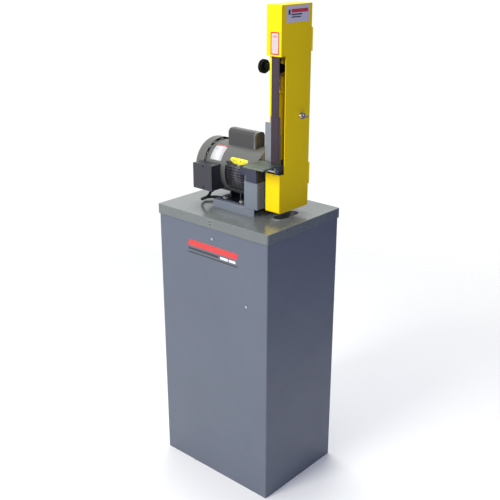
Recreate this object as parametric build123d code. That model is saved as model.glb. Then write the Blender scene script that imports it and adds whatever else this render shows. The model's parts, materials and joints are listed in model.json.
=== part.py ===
from build123d import *
import os
from math import cos, pi, radians, sin, sqrt, tan

# Upright belt sander for 1 in by 42 in belts: a yellow belt guard that swings about the motor
# axis, its drive motor, and the sheet-steel dust cabinet that they stand on.
# Millimetres, +Z up. Origin: on the floor, under the centre of the cabinet. +X is the right-hand
# side for a person who stands in front of the work table and looks along +Y.

os.makedirs("parts", exist_ok=True)

# ------------------------------------------------------------------ clearances
slip = 0.3          # flat or curved faces of different bodies that pass each other
run = 0.05          # radial clearance of a shaft or pin in the hole that it turns in

# ------------------------------------------------------------------ cabinet
cab_w, cab_d = 406.4, 304.8
cab_h = 813.0               # floor to the top of the lid
cab_sheet = 1.5
cab_flange = 25.0           # turned-in edges of the shell
cab_bend = 3.0
lid_sheet = 2.0
lid_gap = 1.5               # between the shell and the lid's skirt
lid_skirt = 28.0
lid_bend = 5.0
door_side, door_open_h, door_open_z = 53.2, 580.0, 110.0   # sheet left beside the door opening
door_lap = 7.0              # how far the access door covers the panel round its opening
door_lip = 11.0
louvre_count, louvre_w, louvre_h, louvre_pitch = 8, 150.0, 5.0, 16.0
lock_inset, lock_z = 12.0, 400.0
shelf_z, shelf_t = 330.0, 2.0
shelf_lip = 20.0
eye_r = 50.0                # round hole in the filter shelf, over the blower
screw_r, screw_head_r, screw_head_t = 2.0, 3.8, 1.8

# ------------------------------------------------------------------ blower and filter
blower_r, blower_h, blower_sheet = 110.0, 66.0, 1.5
outlet_w = 80.0
wheel_r, wheel_h, wheel_sheet, blade_count = 92.0, 40.0, 1.6, 24
blower_shaft_r = 4.0
can_r, can_h, can_flange_r, can_flange_t = 55.0, 105.0, 70.0, 2.5
inlet_l, inlet_w, inlet_drop, inlet_sheet = 92.0, 36.0, 72.0, 1.5
inlet_flange, inlet_flange_t = 8.0, 1.5        # lies against the lid's underside
bag_cloth = 1.6
bag_w, bag_d, bag_h, bag_round = 150.0, 200.0, 370.0, 24.0
bag_x = 118.0               # centre of the bag's body

# ------------------------------------------------------------------ motor base, post and table
base_x0, base_x1, base_y, base_h, base_sheet = -70.0, 83.0, 70.0, 22.0, 3.0
base_foot = 18.0
post_x0, post_x1, post_d, post_h, post_sheet = 48.0, 95.0, 31.0, 75.0, 2.0
bracket_t = 4.0
bracket_y = -72.0           # its front face
bracket_x0, tab_x0, tab_z = 57.0, 37.0, cab_h + 114.0
bracket_front_h, tongue = 35.0, 28.0
table_x0, table_x1 = 90.0, 161.0
table_front, table_back = -122.5, -50.0
table_top, table_t = cab_h + 156.3, 4.0
lug_t, lug_r = 4.0, 7.0
pivot_y, pivot_z, rod_r = -68.0, cab_h + 141.0, 4.0

# ------------------------------------------------------------------ motor
motor_y, shaft_h = 5.0, 82.3      # shaft height over the base plate's top
shell_r, shell_t, shell_x0, shell_x1 = 72.0, 4.0, -87.0, 65.0
bell_step, bell_x0 = 2.0, -105.0      # the rear bell is that much smaller than the shell
drive_face, drive_cone, drive_face_r = 87.0, 8.0, 59.0
spigot = 6.0
boss_r, boss_x1 = 30.0, 108.0
bearing_r, bearing_bore, bearing_w = 20.0, 8.5, 12.0
shaft_tip_r, shaft_x0, shaft_x1 = 7.9375, -127.0, 146.0
stator_x, stator_half, stator_bore, air_gap = -12.0, 43.0, 39.0, 0.4
winding_gap, winding_in, winding_l = 8.0, 43.0, 16.0
tie_r, tie_gap = 2.4, 1.0             # the through bolts lie against the shell's inside
fan_r, fan_blades = 62.0, 8
cover_r, cover_t, cover_x0, cover_x1, cover_round = 76.0, 1.5, -142.5, -105.5, 14.0
cap_w, cap_x0, cap_x1, cap_top, cap_y = 36.0, -55.5, 46.5, cab_h + 217.5, -1.0
cap_sheet, can_radius = 1.5, 15.0
foot_x, foot_dx, foot_dy, foot_t = -10.0, 62.0, 108.0, 3.5
foot_bolt_r, foot_head_r = 4.0, 7.2
box_x0, box_x1, box_y0, box_y1 = -114.0, -44.5, -101.5, -47.0
box_z0, box_z1 = cab_h + 55.0, cab_h + 125.5
box_wall, box_cover = 2.5, 2.0

# ------------------------------------------------------------------ belt head
guard_x0, guard_x1 = 111.0, 159.0
guard_y0, guard_y1 = -54.5, 67.0
guard_z0, guard_h = cab_h + 21.0, 534.6
guard_sheet = 1.5
guard_round, guard_heel = 2.5, 5.0      # corners at the top and notch, and at the bottom
notch_z0, notch_z1 = cab_h + 127.5, cab_h + 431.5
notch_door = -35.7
wall_return = 8.0
belt_w, belt_t = 25.4, 1.2
drive_r, idler_r, pulley_w = 50.8, 31.75, 27.0
idler_z = cab_h + 506.6
crown = 0.5
swivel_r, swivel_x0 = 46.0, 89.0
platen_x0, platen_x1, platen_t = 101.0, 148.5, 5.0
platen_low, platen_high, platen_left_high = cab_h + 130.0, cab_h + 278.0, cab_h + 260.0
travel = 12.0
carriage_t, carriage_y1 = 4.0, -2.0
carriage_z0, carriage_z1 = cab_h + 378.0, cab_h + 519.0
axle_r = 6.0
idler_bearing_r, idler_bearing_w = 14.0, 8.0
stud_y, stud_z, stud_r = -30.7, cab_h + 400.0, 3.5
knob_r, knob_x0, knob_x1, knob_flutes = 18.0, 76.0, 89.0, 10
knob_neck_r = 9.0
nut_x0, nut_x1, nut_af = 137.5, 145.5, 20.0
spring_y, spring_r, spring_wire, spring_turns, spring_h = -14.0, 5.2, 1.5, 8, 42.0
latch_y, latch_z, latch_r = 31.0, cab_h + 273.0, 4.0
hinge_r, hinge_pin_r, knuckle = 2.3, 1.1, 20.0
lead_r = 4.0                # the motor lead

# ------------------------------------------------------------------ derived places
lid_top = cab_h
shell_top = cab_h - lid_sheet
half_w, half_d = cab_w / 2, cab_d / 2
door_open_w = cab_w - 2 * door_side
lock_x = lock_inset - door_open_w / 2
bell_r = shell_r - bell_step
winding_out = shell_r - shell_t - winding_gap
tie_circle = shell_r - shell_t - tie_r - tie_gap
lid_half_w = half_w + lid_gap + lid_sheet
lid_half_d = half_d + lid_gap + lid_sheet
base_top = lid_top + base_h
motor_z = base_top + shaft_h
post_top = base_top + post_h
front_y = -base_y
guard_z1 = guard_z0 + guard_h
belt_x = (guard_x0 + guard_x1) / 2
pulley_x0, pulley_x1 = belt_x - pulley_w / 2, belt_x + pulley_w / 2
belt_inner = motor_y - drive_r - slip           # back face of the front strand
idler_y = belt_inner + slip + idler_r
platen_front = belt_inner + slip
notch_wall = platen_front + platen_t            # the guard's left wall ends behind the platen
carriage_y0 = notch_wall + guard_sheet + 0.5
door_x0 = guard_x1 - guard_sheet
panel_y = half_d - cab_sheet                    # outer face of the back panel
door_y = panel_y + slip                         # inner face of the access door


# ------------------------------------------------------------------ shape helpers
def block(x0, x1, y0, y1, z0, z1):
    """A box between two corners."""
    centre = Pos((x0 + x1) / 2, (y0 + y1) / 2, (z0 + z1) / 2)
    return centre * Box(abs(x1 - x0), abs(y1 - y0), abs(z1 - z0))


def rod(axis, r, start, end, a, b):
    """A cylinder along X, Y or Z from start to end; a and b are its other two coordinates."""
    mid, length = (start + end) / 2, abs(end - start)
    if axis == "x":
        return Pos(mid, a, b) * Rot(0, 90, 0) * Cylinder(r, length)
    if axis == "y":
        return Pos(a, mid, b) * Rot(90, 0, 0) * Cylinder(r, length)
    return Pos(a, b, mid) * Cylinder(r, length)


def tube(axis, r_out, r_in, start, end, a, b):
    """A cylinder with a round bore."""
    return rod(axis, r_out, start, end, a, b) - rod(axis, r_in, start, end, a, b)


def shaft_rod(r, x0, x1):
    """A cylinder on the motor axis."""
    return rod("x", r, x0, x1, motor_y, motor_z)


def hexagon(axis, across_flats, start, end, a, b):
    """A hexagonal prism along an axis."""
    prism = extrude(RegularPolygon(across_flats / 2, 6, major_radius=False), abs(end - start))
    low = min(start, end)
    if axis == "x":
        return Pos(low, a, b) * Rot(0, 90, 0) * prism
    if axis == "y":
        return Pos(a, low, b) * Rot(-90, 0, 0) * prism
    return Pos(a, b, low) * prism


def turned(points, y, z):
    """A solid turned about an X axis from (x, radius) points."""
    profile = Plane.XZ * make_face(Polyline(*points, close=True))
    return Pos(0, y, z) * revolve(profile, Axis.X)


def slot_prism(length, width, z0, z1, x, y):
    """An upright prism with round ends, long along Y."""
    return Pos(x, y, z0) * Rot(0, 0, 90) * extrude(SlotOverall(length, width), z1 - z0)


def around(count, circle, start=0.0):
    """Places on a circle about the motor axis, as (y, z)."""
    places = []
    for i in range(count):
        angle = radians(start + 360 / count * i)
        places.append((motor_y + circle * cos(angle), motor_z + circle * sin(angle)))
    return places


def save(node, *solids):
    """Write one node as one STEP file; several solids stay separate in it."""
    shape = solids[0] if len(solids) == 1 else Compound(children=list(solids))
    export_step(shape, f"parts/{node}.step")


# ------------------------------------------------------------------ cabinet
frame_screws = [(sx * (half_w - cab_flange / 2), z) for sx in (-1, 1) for z in (80, 405, 730)]
front_rivets = [(4.0, lid_top - 59.0), (129.0, lid_top - 224.0)]
lid_screw_z = lid_top - lid_skirt / 2
base_bolt_places = [(x, sy * (base_y - base_foot / 2 - base_sheet))
                    for x in (base_x0 + 15, base_x1 - 15) for sy in (-1, 1)]
grommet_x, grommet_y = -40.0, 0.0
supply_x, supply_z = 120.0, 62.0
grommet_r, grommet_lip, grommet_bore = 9.0, 12.0, lead_r
bushing_y, bushing_z, bushing_r = -16.0, lid_top + 9.0, 5.6     # where the lead enters the motor base
rocker_x, rocker_z, rocker_w, rocker_h = 0.0, lid_top - 68.0, 22.0, 30.0


def cabinet_shell():
    body = block(-half_w, half_w, -half_d, half_d, 0, shell_top)
    body = fillet(body.edges().filter_by(Axis.Z), cab_bend)
    body -= block(-half_w + cab_sheet, half_w - cab_sheet, -half_d + cab_sheet, half_d - cab_sheet,
                  cab_sheet, shell_top - cab_sheet)
    rim_w, rim_d = half_w - cab_flange, half_d - cab_flange
    body -= block(-rim_w, rim_w, 0, half_d + 1, cab_flange, shell_top - cab_flange)
    body -= block(-rim_w, rim_w, -rim_d, rim_d, shell_top - cab_flange, shell_top + 1)
    body -= block(-rim_w, rim_w, -rim_d, rim_d, -1, cab_flange)
    for x, z in frame_screws:
        body -= rod("y", screw_r, 0, half_d + 1, x, z)
    for x, z in front_rivets + [(0, lid_screw_z)]:
        body -= rod("y", screw_r, -half_d - 1, 0, x, z)
    body -= rod("y", screw_r, 0, half_d + 1, 0, lid_screw_z)
    body -= rod("x", screw_r, -half_w - 1, half_w + 1, 0, lid_screw_z)
    return body


def back_panel():
    side = half_w - cab_sheet - slip
    panel = block(-side, side, panel_y - cab_sheet, panel_y, 2 * cab_sheet + 1, shell_top - cab_sheet - slip)
    panel -= block(-door_open_w / 2, door_open_w / 2, 0, half_d, door_open_z, door_open_z + door_open_h)
    for x, z in frame_screws:
        panel -= rod("y", screw_r, 0, half_d, x, z)
    panel -= rod("y", grommet_r, 0, half_d, supply_x, supply_z)
    panel -= block(rocker_x - rocker_w / 2, rocker_x + rocker_w / 2, 0, half_d,
                   rocker_z - rocker_h / 2, rocker_z + rocker_h / 2)
    panel -= rod("y", screw_r + 3, 0, half_d, 0, lid_screw_z)
    return panel


def cabinet_lid():
    lid = block(-lid_half_w, lid_half_w, -lid_half_d, lid_half_d, lid_top - lid_skirt, lid_top)
    lid = fillet(lid.edges().filter_by(Axis.Z), lid_bend)
    lid = fillet(lid.faces().sort_by(Axis.Z)[-1].edges(), lid_sheet)
    inner_w, inner_d = lid_half_w - lid_sheet, lid_half_d - lid_sheet
    hollow = block(-inner_w, inner_w, -inner_d, inner_d, lid_top - lid_skirt - 1, lid_top - lid_sheet)
    lid -= fillet(hollow.edges().filter_by(Axis.Z), lid_bend - lid_sheet)
    lid -= slot_prism(inlet_l + 2 * slip, inlet_w + 2 * slip, 0, lid_top + 1, belt_x, motor_y)
    lid -= rod("z", grommet_r, 0, lid_top + 1, grommet_x, grommet_y)
    for x, y in base_bolt_places:
        lid -= rod("z", foot_bolt_r, 0, lid_top + 1, x, y)
    for sy in (-1, 1):
        lid -= block(-1.9, 1.9, sy * half_d, sy * (lid_half_d + 1), lid_screw_z - 4.8, lid_screw_z + 4.8)
    for sx in (-1, 1):
        lid -= block(sx * half_w, sx * (lid_half_w + 1), -1.9, 1.9, lid_screw_z - 4.8, lid_screw_z + 4.8)
    return lid


def cabinet_fasteners():
    """Panel screws, front rivets and the four screws in the lid's slots."""
    pieces = []
    for x, z in frame_screws:
        head = rod("y", screw_head_r, half_d, half_d + screw_head_t, x, z)
        pieces.append(head + rod("y", screw_r, panel_y - cab_sheet - 4, half_d, x, z))
    for x, z in front_rivets:
        head = rod("y", screw_head_r, -half_d - 1.2, -half_d, x, z)
        pieces.append(head + rod("y", screw_r, -half_d, -half_d + cab_sheet + 2, x, z))
    reach = lid_gap + lid_sheet - 0.4
    for sy in (-1, 1):
        pieces.append(rod("y", 1.85, sy * half_d, sy * (half_d + reach), 0, lid_screw_z)
                      + rod("y", screw_r, sy * (half_d - 6), sy * half_d, 0, lid_screw_z))
    for sx in (-1, 1):
        pieces.append(rod("x", 1.85, sx * half_w, sx * (half_w + reach), 0, lid_screw_z)
                      + rod("x", screw_r, sx * (half_w - 6), sx * half_w, 0, lid_screw_z))
    return pieces


door_half = door_open_w / 2 + door_lap
door_z0, door_z1 = door_open_z - door_lap, door_open_z + door_open_h + door_lap
access_axis_x = door_half + hinge_r + 1.2
access_axis_y = door_y + hinge_r
access_hinges = [door_z0 + 80, door_z1 - 80 - 3 * knuckle]


def access_door():
    outer = block(-door_half, door_half, door_y, door_y + cab_sheet, door_z0, door_z1)
    lip_w, lip_z0, lip_z1 = door_open_w / 2 - 1.5, door_open_z + 1.5, door_open_z + door_open_h - 1.5
    lip = block(-lip_w, lip_w, door_y - door_lip, door_y, lip_z0, lip_z1)
    lip -= block(-lip_w + cab_sheet, lip_w - cab_sheet, door_y - door_lip, door_y,
                 lip_z0 + cab_sheet, lip_z1 - cab_sheet)
    lip -= block(-lip_w - 1, lock_x, door_y - door_lip, door_y, lock_z - 26, lock_z + 26)
    door = outer + lip
    for z in access_hinges:
        door += rod("z", hinge_r, z + knuckle + slip, z + 2 * knuckle - slip, access_axis_x, access_axis_y)
        door += block(door_half - 1, access_axis_x, door_y, door_y + cab_sheet,
                      z + knuckle + slip, z + 2 * knuckle - slip)
        door -= rod("z", hinge_pin_r + run, z, z + 3 * knuckle, access_axis_x, access_axis_y)
    door -= rod("y", 6 + run, 0, half_d + 5, lock_x, lock_z)
    for i in range(louvre_count):
        z = door_z0 + 60 + i * louvre_pitch
        door -= block(-louvre_w / 2, louvre_w / 2, 0, half_d + 5, z, z + louvre_h)
    return door


def access_hinge(z):
    """Fixed leaf, its two knuckles and its pin, on the back panel."""
    near = access_axis_x + hinge_r + 0.4
    leaf = block(near, near + 9, panel_y, panel_y + 1.2, z, z + 3 * knuckle)
    for z0 in (z, z + 2 * knuckle):
        leaf += rod("z", hinge_r, z0, z0 + knuckle, access_axis_x, access_axis_y)
        leaf += block(access_axis_x, near + 1, panel_y, panel_y + 1.2, z0, z0 + knuckle)
    return leaf + rod("z", hinge_pin_r, z, z + 3 * knuckle, access_axis_x, access_axis_y)


def cam_lock():
    """Flush quarter-turn lock, open: its cam hangs down, and turns behind the panel's edge."""
    face = door_y + cab_sheet
    head = rod("y", 11, face + slip, face + 2.3, lock_x, lock_z)
    head -= block(lock_x - 8, lock_x + 8, face + 1.2, face + 4, lock_z - 1, lock_z + 1)
    barrel = rod("y", 6, panel_y - cab_sheet - 4, face + slip, lock_x, lock_z)
    cam_face = panel_y - cab_sheet - slip
    reach = lock_x + door_open_w / 2 + 9
    cam = block(lock_x - 6, lock_x + 6, cam_face - 2.5, cam_face, lock_z - reach, lock_z)
    return head + barrel + cam


def grommet_z(x, y):
    """Rubber ring in the lid."""
    ring = rod("z", grommet_lip, lid_top, lid_top + 2.5, x, y)
    ring += rod("z", grommet_r, shell_top, lid_top, x, y)
    ring += rod("z", grommet_lip, shell_top - 2.5, shell_top, x, y)
    return ring - rod("z", grommet_bore, shell_top - 4, lid_top + 4, x, y)


def grommet_y_ring(x, z):
    """Rubber ring for the supply cord in the back panel."""
    ring = rod("y", grommet_lip, panel_y, panel_y + 2.5, x, z)
    ring += rod("y", grommet_r, panel_y - cab_sheet, panel_y, x, z)
    ring += rod("y", grommet_lip, panel_y - cab_sheet - 2.5, panel_y - cab_sheet, x, z)
    return ring - rod("y", grommet_bore, panel_y - 8, panel_y + 8, x, z)


def lead_bushing():
    """Strain relief for the lead in the end of the motor base."""
    face = base_x0 + base_sheet
    body = rod("x", bushing_r, base_x0, face, bushing_y, bushing_z)
    body += rod("x", bushing_r + 1.4, face, face + 2, bushing_y, bushing_z)
    body += rod("x", bushing_r + 1.4, base_x0 - 2.5, base_x0, bushing_y, bushing_z)
    return body - rod("x", lead_r, base_x0 - 4, face + 4, bushing_y, bushing_z)


def rocker_bezel():
    w, h = rocker_w / 2, rocker_h / 2
    bezel = block(rocker_x - w - 2, rocker_x + w + 2, panel_y, panel_y + 1.5,
                  rocker_z - h - 2, rocker_z + h + 2)
    bezel += block(rocker_x - w, rocker_x + w, panel_y - 24, panel_y, rocker_z - h, rocker_z + h)
    return bezel - block(rocker_x - w + 2, rocker_x + w - 2, panel_y - 14, panel_y + 2,
                         rocker_z - h + 2, rocker_z + h - 2)


def switch_rocker():
    """Rocker on a cross axis; the upper half stands out when the switch is off."""
    half = rocker_w / 2 - 2.5
    drum = rod("x", 9.0, rocker_x - half, rocker_x + half, panel_y - 4.5, rocker_z)
    drum -= block(-50, 50, panel_y + 2.6, panel_y + 9, rocker_z - 20, rocker_z + 20)
    return drum & block(-50, 50, panel_y - 13, panel_y + 4, rocker_z - 11, rocker_z + 11)


save("cabinet_shell", cabinet_shell())
save("back_panel", back_panel())
save("cabinet_floor", block(-half_w + cab_sheet + slip, half_w - cab_sheet - slip,
                            -half_d + cab_sheet + slip, panel_y - slip, cab_sheet, 2 * cab_sheet))
save("cabinet_lid", cabinet_lid())
save("cabinet_screws", *cabinet_fasteners())
save("access_door", access_door())
save("access_hinges", *[access_hinge(z) for z in access_hinges])
save("door_cam_lock", cam_lock())
save("grommets", grommet_z(grommet_x, grommet_y), grommet_y_ring(supply_x, supply_z))
save("rocker_bezel", rocker_bezel())
save("switch_rocker", switch_rocker())


# ------------------------------------------------------------------ filter and blower
def filter_shelf():
    side = half_w - cab_sheet
    y0, y1 = -half_d + cab_sheet + slip, door_y - door_lip - 2
    shelf = block(-side, side, y0, y1, shelf_z, shelf_z + shelf_t)
    for sx in (-1, 1):
        shelf += block(sx * side, sx * (side - shelf_t), y0, y1, shelf_z - shelf_lip, shelf_z)
    return shelf - rod("z", eye_r, shelf_z - 1, shelf_z + shelf_t + 1, 0, 0)


def dust_inlet():
    spout_low = lid_top - inlet_drop
    spout = slot_prism(inlet_l, inlet_w, spout_low, lid_top, belt_x, motor_y)
    lap = 2 * inlet_flange
    spout += slot_prism(inlet_l + lap, inlet_w + lap, shell_top - inlet_flange_t, shell_top, belt_x, motor_y)
    bore = 2 * inlet_sheet
    return spout - slot_prism(inlet_l - bore, inlet_w - bore, spout_low - 1, lid_top + 5, belt_x, motor_y)


def bag_form(inset):
    """The filter bag's outline, drawn in from its outer face by an inset."""
    low, high = bag_low + inset, bag_low + bag_h - inset
    x0, x1 = bag_x - bag_w / 2 + inset, bag_x + bag_w / 2 - inset
    y0, y1 = motor_y - bag_d / 2 + inset, motor_y + bag_d / 2 - inset
    body = block(x0, x1, y0, y1, low, high)
    body = fillet(body.edges(), bag_round - inset)
    neck = 2 * (bag_cloth - inset)
    return body + slot_prism(inlet_l + neck, inlet_w + neck, high - bag_round, bag_top + inset,
                             belt_x, motor_y)


bag_top = lid_top - inlet_drop + 30
bag_low = lid_top - inlet_drop - 20 - bag_h


def blower_scroll(inset, low, high):
    shape = rod("z", blower_r - inset, low, high, 0, 0)
    mouth = panel_y - 22
    return shape + block(blower_r - outlet_w + inset, blower_r - inset, 0, mouth, low, high)


blower_low = shelf_z - blower_h


def blower_housing():
    scroll = blower_scroll(0, blower_low, shelf_z)
    scroll -= blower_scroll(blower_sheet, blower_low + blower_sheet, shelf_z + 1)
    scroll -= block(blower_r - outlet_w + blower_sheet, blower_r - blower_sheet, half_d - 40, half_d,
                    blower_low + blower_sheet, shelf_z + 1)
    scroll -= rod("z", 14, 0, shelf_z, 0, 0)
    for x, y in blower_bolts:
        scroll -= rod("z", screw_r, 0, shelf_z, x, y)
    return scroll


blower_bolts = [(60 * cos(radians(a)), 60 * sin(radians(a))) for a in (45, 135, 225, 315)]


def blower_motor():
    can = rod("z", can_r, blower_low - can_flange_t - can_h, blower_low - can_flange_t, 0, 0)
    can = fillet(can.edges().sort_by(Axis.Z)[0], 8)
    can += rod("z", can_flange_r, blower_low - can_flange_t, blower_low, 0, 0)
    can -= rod("z", blower_shaft_r + run, blower_low - 30, blower_low + 1, 0, 0)
    for x, y in blower_bolts:
        can += rod("z", screw_r, blower_low - 1, blower_low + 5, x, y)
    return can


def blower_wheel():
    low = blower_low + 10
    wheel = rod("z", wheel_r, low, low + wheel_sheet, 0, 0)
    wheel += tube("z", wheel_r, wheel_r - 32, low + wheel_h, low + wheel_h + wheel_sheet, 0, 0)
    wheel += rod("z", 13, low - 4, low + 22, 0, 0)
    wheel += rod("z", blower_shaft_r, blower_low - 28, low, 0, 0)
    for i in range(blade_count):
        blade = block(wheel_r - 31, wheel_r - 1, -wheel_sheet / 2, wheel_sheet / 2, low, low + wheel_h)
        wheel += Rot(0, 0, 360 / blade_count * i) * blade
    return wheel


save("filter_shelf", filter_shelf())
save("dust_inlet", dust_inlet())
save("filter_bag", bag_form(0) - bag_form(bag_cloth))
save("blower_housing", blower_housing())
save("blower_motor", blower_motor())
save("blower_wheel", blower_wheel())


# ------------------------------------------------------------------ base, post and work table
foot_places = [(foot_x + sx * foot_dx / 2, motor_y + sy * foot_dy / 2) for sx in (-1, 1) for sy in (-1, 1)]
post_back = front_y + post_d
post_screws = [(base_x1 - 9, front_y + post_d * 0.3), (base_x1 - 9, front_y + post_d * 0.75)]
tongue_x1 = post_x1 - post_sheet
tongue_screws = [(front_y + post_d * f, post_top - tongue / 2) for f in (0.35, 0.65)]


def motor_base():
    base = block(base_x0, base_x1, front_y, base_y, lid_top, base_top)
    base = fillet(base.edges().filter_by(Axis.X).sort_by(Axis.Z)[-2:], base_sheet)
    base -= block(base_x0 + base_sheet, base_x1 + 1, front_y + base_sheet, base_y - base_sheet,
                  lid_top + base_sheet, base_top - base_sheet)
    inner = base_y - base_foot
    base -= block(base_x0 + base_sheet, base_x1 + 1, -inner, inner, lid_top - 1, base_top - base_sheet)
    base -= rod("x", bushing_r, base_x0 - 1, base_x0 + base_sheet + 1, bushing_y, bushing_z)
    for x, y in foot_places:
        base -= rod("z", foot_bolt_r, lid_top, base_top + 1, x, y)
    for x, y in base_bolt_places:
        base -= rod("z", foot_bolt_r, lid_top - 1, base_top - base_sheet, x, y)
    for x, y in post_screws:
        base -= rod("z", 3, base_top - base_sheet - 1, base_top + 1, x, y)
    return base


def bolt(x, y, under, top, head_up=True, r=foot_bolt_r, head_r=foot_head_r, head_t=5.5):
    """A hexagon-head bolt from under to top, with its nut on the far end."""
    body = rod("z", r, under, top, x, y)
    flats = 2 * head_r * cos(pi / 6)
    if head_up:
        body += hexagon("z", flats, top, top + head_t, x, y)
        return body + rod("z", head_r + 1.5, top, top + 1.2, x, y)
    return body + hexagon("z", flats, under - head_t, under, x, y)


def table_post():
    """Folded plate: front, right side and a foot flange on the motor base."""
    post = block(post_x0, post_x1, front_y, post_back, base_top, post_top)
    corner = post.edges().filter_by(Axis.Z).sort_by(Axis.Y)[:2].sort_by(Axis.X)[-1]
    post = fillet(corner, post_sheet + 1)
    post -= block(post_x0 - 1, post_x1 - post_sheet, front_y + post_sheet, post_back + 1,
                  base_top + post_sheet, post_top + 1)
    for x, y in post_screws:
        post -= rod("z", 3, base_top - 1, base_top + post_sheet + 1, x, y)
    for y, z in tongue_screws:
        post -= rod("x", 2.5, post_x1 - post_sheet - 1, post_x1 + 1, y, z)
    return post


def table_bracket():
    """Bent plate on the post: front with a tab, right side with the rod's ear, and a tongue."""
    back = post_back - 5
    front_top = post_top + bracket_front_h
    body = block(bracket_x0, post_x1, bracket_y, back, post_top, front_top)
    corner = body.edges().filter_by(Axis.Z).sort_by(Axis.Y)[:2].sort_by(Axis.X)[-1]
    body = fillet(corner, bracket_t + 1)
    body -= block(bracket_x0 - 1, post_x1 - bracket_t, bracket_y + bracket_t, back + 1,
                  post_top - 1, front_top + 1)
    body += block(tab_x0, bracket_x0 + 1, bracket_y, bracket_y + bracket_t, tab_z, front_top)
    body += rod("x", lug_r, post_x1 - bracket_t, post_x1, pivot_y, pivot_z)
    body += block(post_x1 - bracket_t, post_x1, pivot_y, back - 6, front_top - 1, pivot_z + lug_r)
    body += block(post_x1 - bracket_t, post_x1, pivot_y - lug_r, pivot_y, front_top - 8, pivot_z)
    body += block(tongue_x1 - bracket_t, tongue_x1, front_y + post_sheet + 2, back,
                  post_top - tongue, post_top + 12)
    for y, z in tongue_screws:
        body -= rod("x", 2.5, tongue_x1 - bracket_t - 1, post_x1 + 1, y, z)
    return body - rod("x", rod_r, post_x1 - bracket_t - 1, post_x1 + 1, pivot_y, pivot_z)


def table_rod():
    """Pivot rod with its hexagon head and its spacer against the bracket's ear."""
    face = post_x1 - bracket_t
    pin = rod("x", rod_r, face, table_x1 - slip, pivot_y, pivot_z)
    pin += hexagon("x", 12, face - 6, face, pivot_y, pivot_z)
    return pin + rod("x", lug_r, post_x1, table_x0 + lug_inset - slip, pivot_y, pivot_z)


lug_inset = 9.0             # the left lug stands in from the table's edge, clear of the bracket


def work_table():
    top = block(table_x0, table_x1, table_front, table_back, table_top - table_t, table_top)
    top = fillet(top.edges().filter_by(Axis.Z), 2)
    for x in (table_x0 + lug_inset, table_x1 - lug_t):
        top += rod("x", lug_r, x, x + lug_t, pivot_y, pivot_z)
        top += block(x, x + lug_t, pivot_y - lug_r, pivot_y + lug_r, pivot_z, table_top - 1)
    return top - rod("x", rod_r + run, table_x0 - 1, table_x1 + 1, pivot_y, pivot_z)


def screw(x, y, z, down, length, r=3, head_r=5, head_t=3):
    """A round-head screw that enters at height z and points down or up."""
    sign = -1 if down else 1
    return rod("z", r, z, z + sign * length, x, y) + rod("z", head_r, z, z - sign * head_t, x, y)


save("motor_base", motor_base())
save("base_bolts", *[bolt(x, y, shell_top, lid_top + base_sheet + 6, head_up=False)
                     for x, y in base_bolt_places])
save("table_post", table_post())
save("table_bracket", table_bracket())
save("post_screws",
     *[screw(x, y, base_top + post_sheet, True, base_sheet + post_sheet + 5) for x, y in post_screws],
     *[rod("x", 2.5, tongue_x1 - bracket_t, post_x1 - 0.2, y, z)
       + rod("x", 4.5, tongue_x1 - bracket_t - 1.5, tongue_x1 - bracket_t, y, z) for y, z in tongue_screws])
save("table_rod", table_rod())
save("work_table", work_table())


# ------------------------------------------------------------------ motor
def motor_foot():
    half_x, half_y = foot_dx / 2 + 11, foot_dy / 2 + 8
    plate = block(foot_x - half_x, foot_x + half_x, motor_y - half_y, motor_y + half_y,
                  base_top, base_top + foot_t)
    for sx in (-1, 1):
        x = foot_x + sx * (foot_dx / 2 - 12)
        plate += block(x - 2, x + 2, motor_y - 46, motor_y + 46, base_top, motor_z - shell_r * 0.7)
    for x, y in foot_places:
        plate -= rod("z", foot_bolt_r, base_top - 1, base_top + foot_t + 1, x, y)
    return plate - shaft_rod(shell_r, shell_x0, shell_x1)


def motor_shell():
    shell = shaft_rod(shell_r, shell_x0, shell_x1) - shaft_rod(shell_r - shell_t, shell_x0, shell_x1)
    return shell - rod("y", 9, motor_y - shell_r - 5, motor_y, (box_x0 + box_x1) / 2 + 8, motor_z - 10)


def rear_bell():
    bell = shaft_rod(bell_r, bell_x0, shell_x0) + shaft_rod(shell_r - shell_t, shell_x0, shell_x0 + spigot)
    bell -= shaft_rod(shell_r - shell_t - 4, bell_x0 + 5, shell_x0 + spigot)
    bell += shaft_rod(bearing_r + 6, bell_x0, rear_bearing + bearing_w)
    bell -= shaft_rod(bearing_r, rear_bearing, rear_bearing + bearing_w + 1)
    bell -= shaft_rod(bearing_bore + 2, bell_x0 - 1, shell_x0 + spigot)
    for y, z in around(4, tie_circle, 45):
        bell -= rod("x", tie_r, bell_x0 - 1, shell_x0 + spigot + 1, y, z)
    for y, z in around(3, bell_r + 1, 90):
        bell += rod("x", 3, bell_x0 + 2, bell_x0 + 8, y, z)
    return bell & shaft_rod(cover_r - cover_t, bell_x0, shell_x0 + spigot)


rear_bearing = bell_x0 + 6
drive_bearing = drive_face - 4 - bearing_w


def drive_bell():
    bell = turned([(shell_x1, 0), (shell_x1, shell_r), (drive_face - drive_cone, shell_r),
                   (drive_face, drive_face_r), (drive_face, 0)], motor_y, motor_z)
    bell += shaft_rod(shell_r - shell_t, shell_x1 - spigot, shell_x1)
    bell -= shaft_rod(shell_r - shell_t - 4, shell_x1 - spigot, drive_face - drive_cone - 4)
    bell += shaft_rod(bearing_r + 6, shell_x1 + 2, drive_face)
    bell += shaft_rod(boss_r, drive_face, boss_x1)
    bell -= shaft_rod(bearing_r, shell_x1 - spigot, drive_bearing + bearing_w)
    bell -= shaft_rod(bearing_bore + 2, shell_x1, boss_x1 + 1)
    for y, z in around(4, tie_circle, 45):
        bell -= rod("x", tie_r, shell_x1 - spigot - 1, drive_face, y, z)
        bell -= rod("x", 6.5, drive_face - drive_cone - 3, drive_face + 1, y, z)
    return bell


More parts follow.
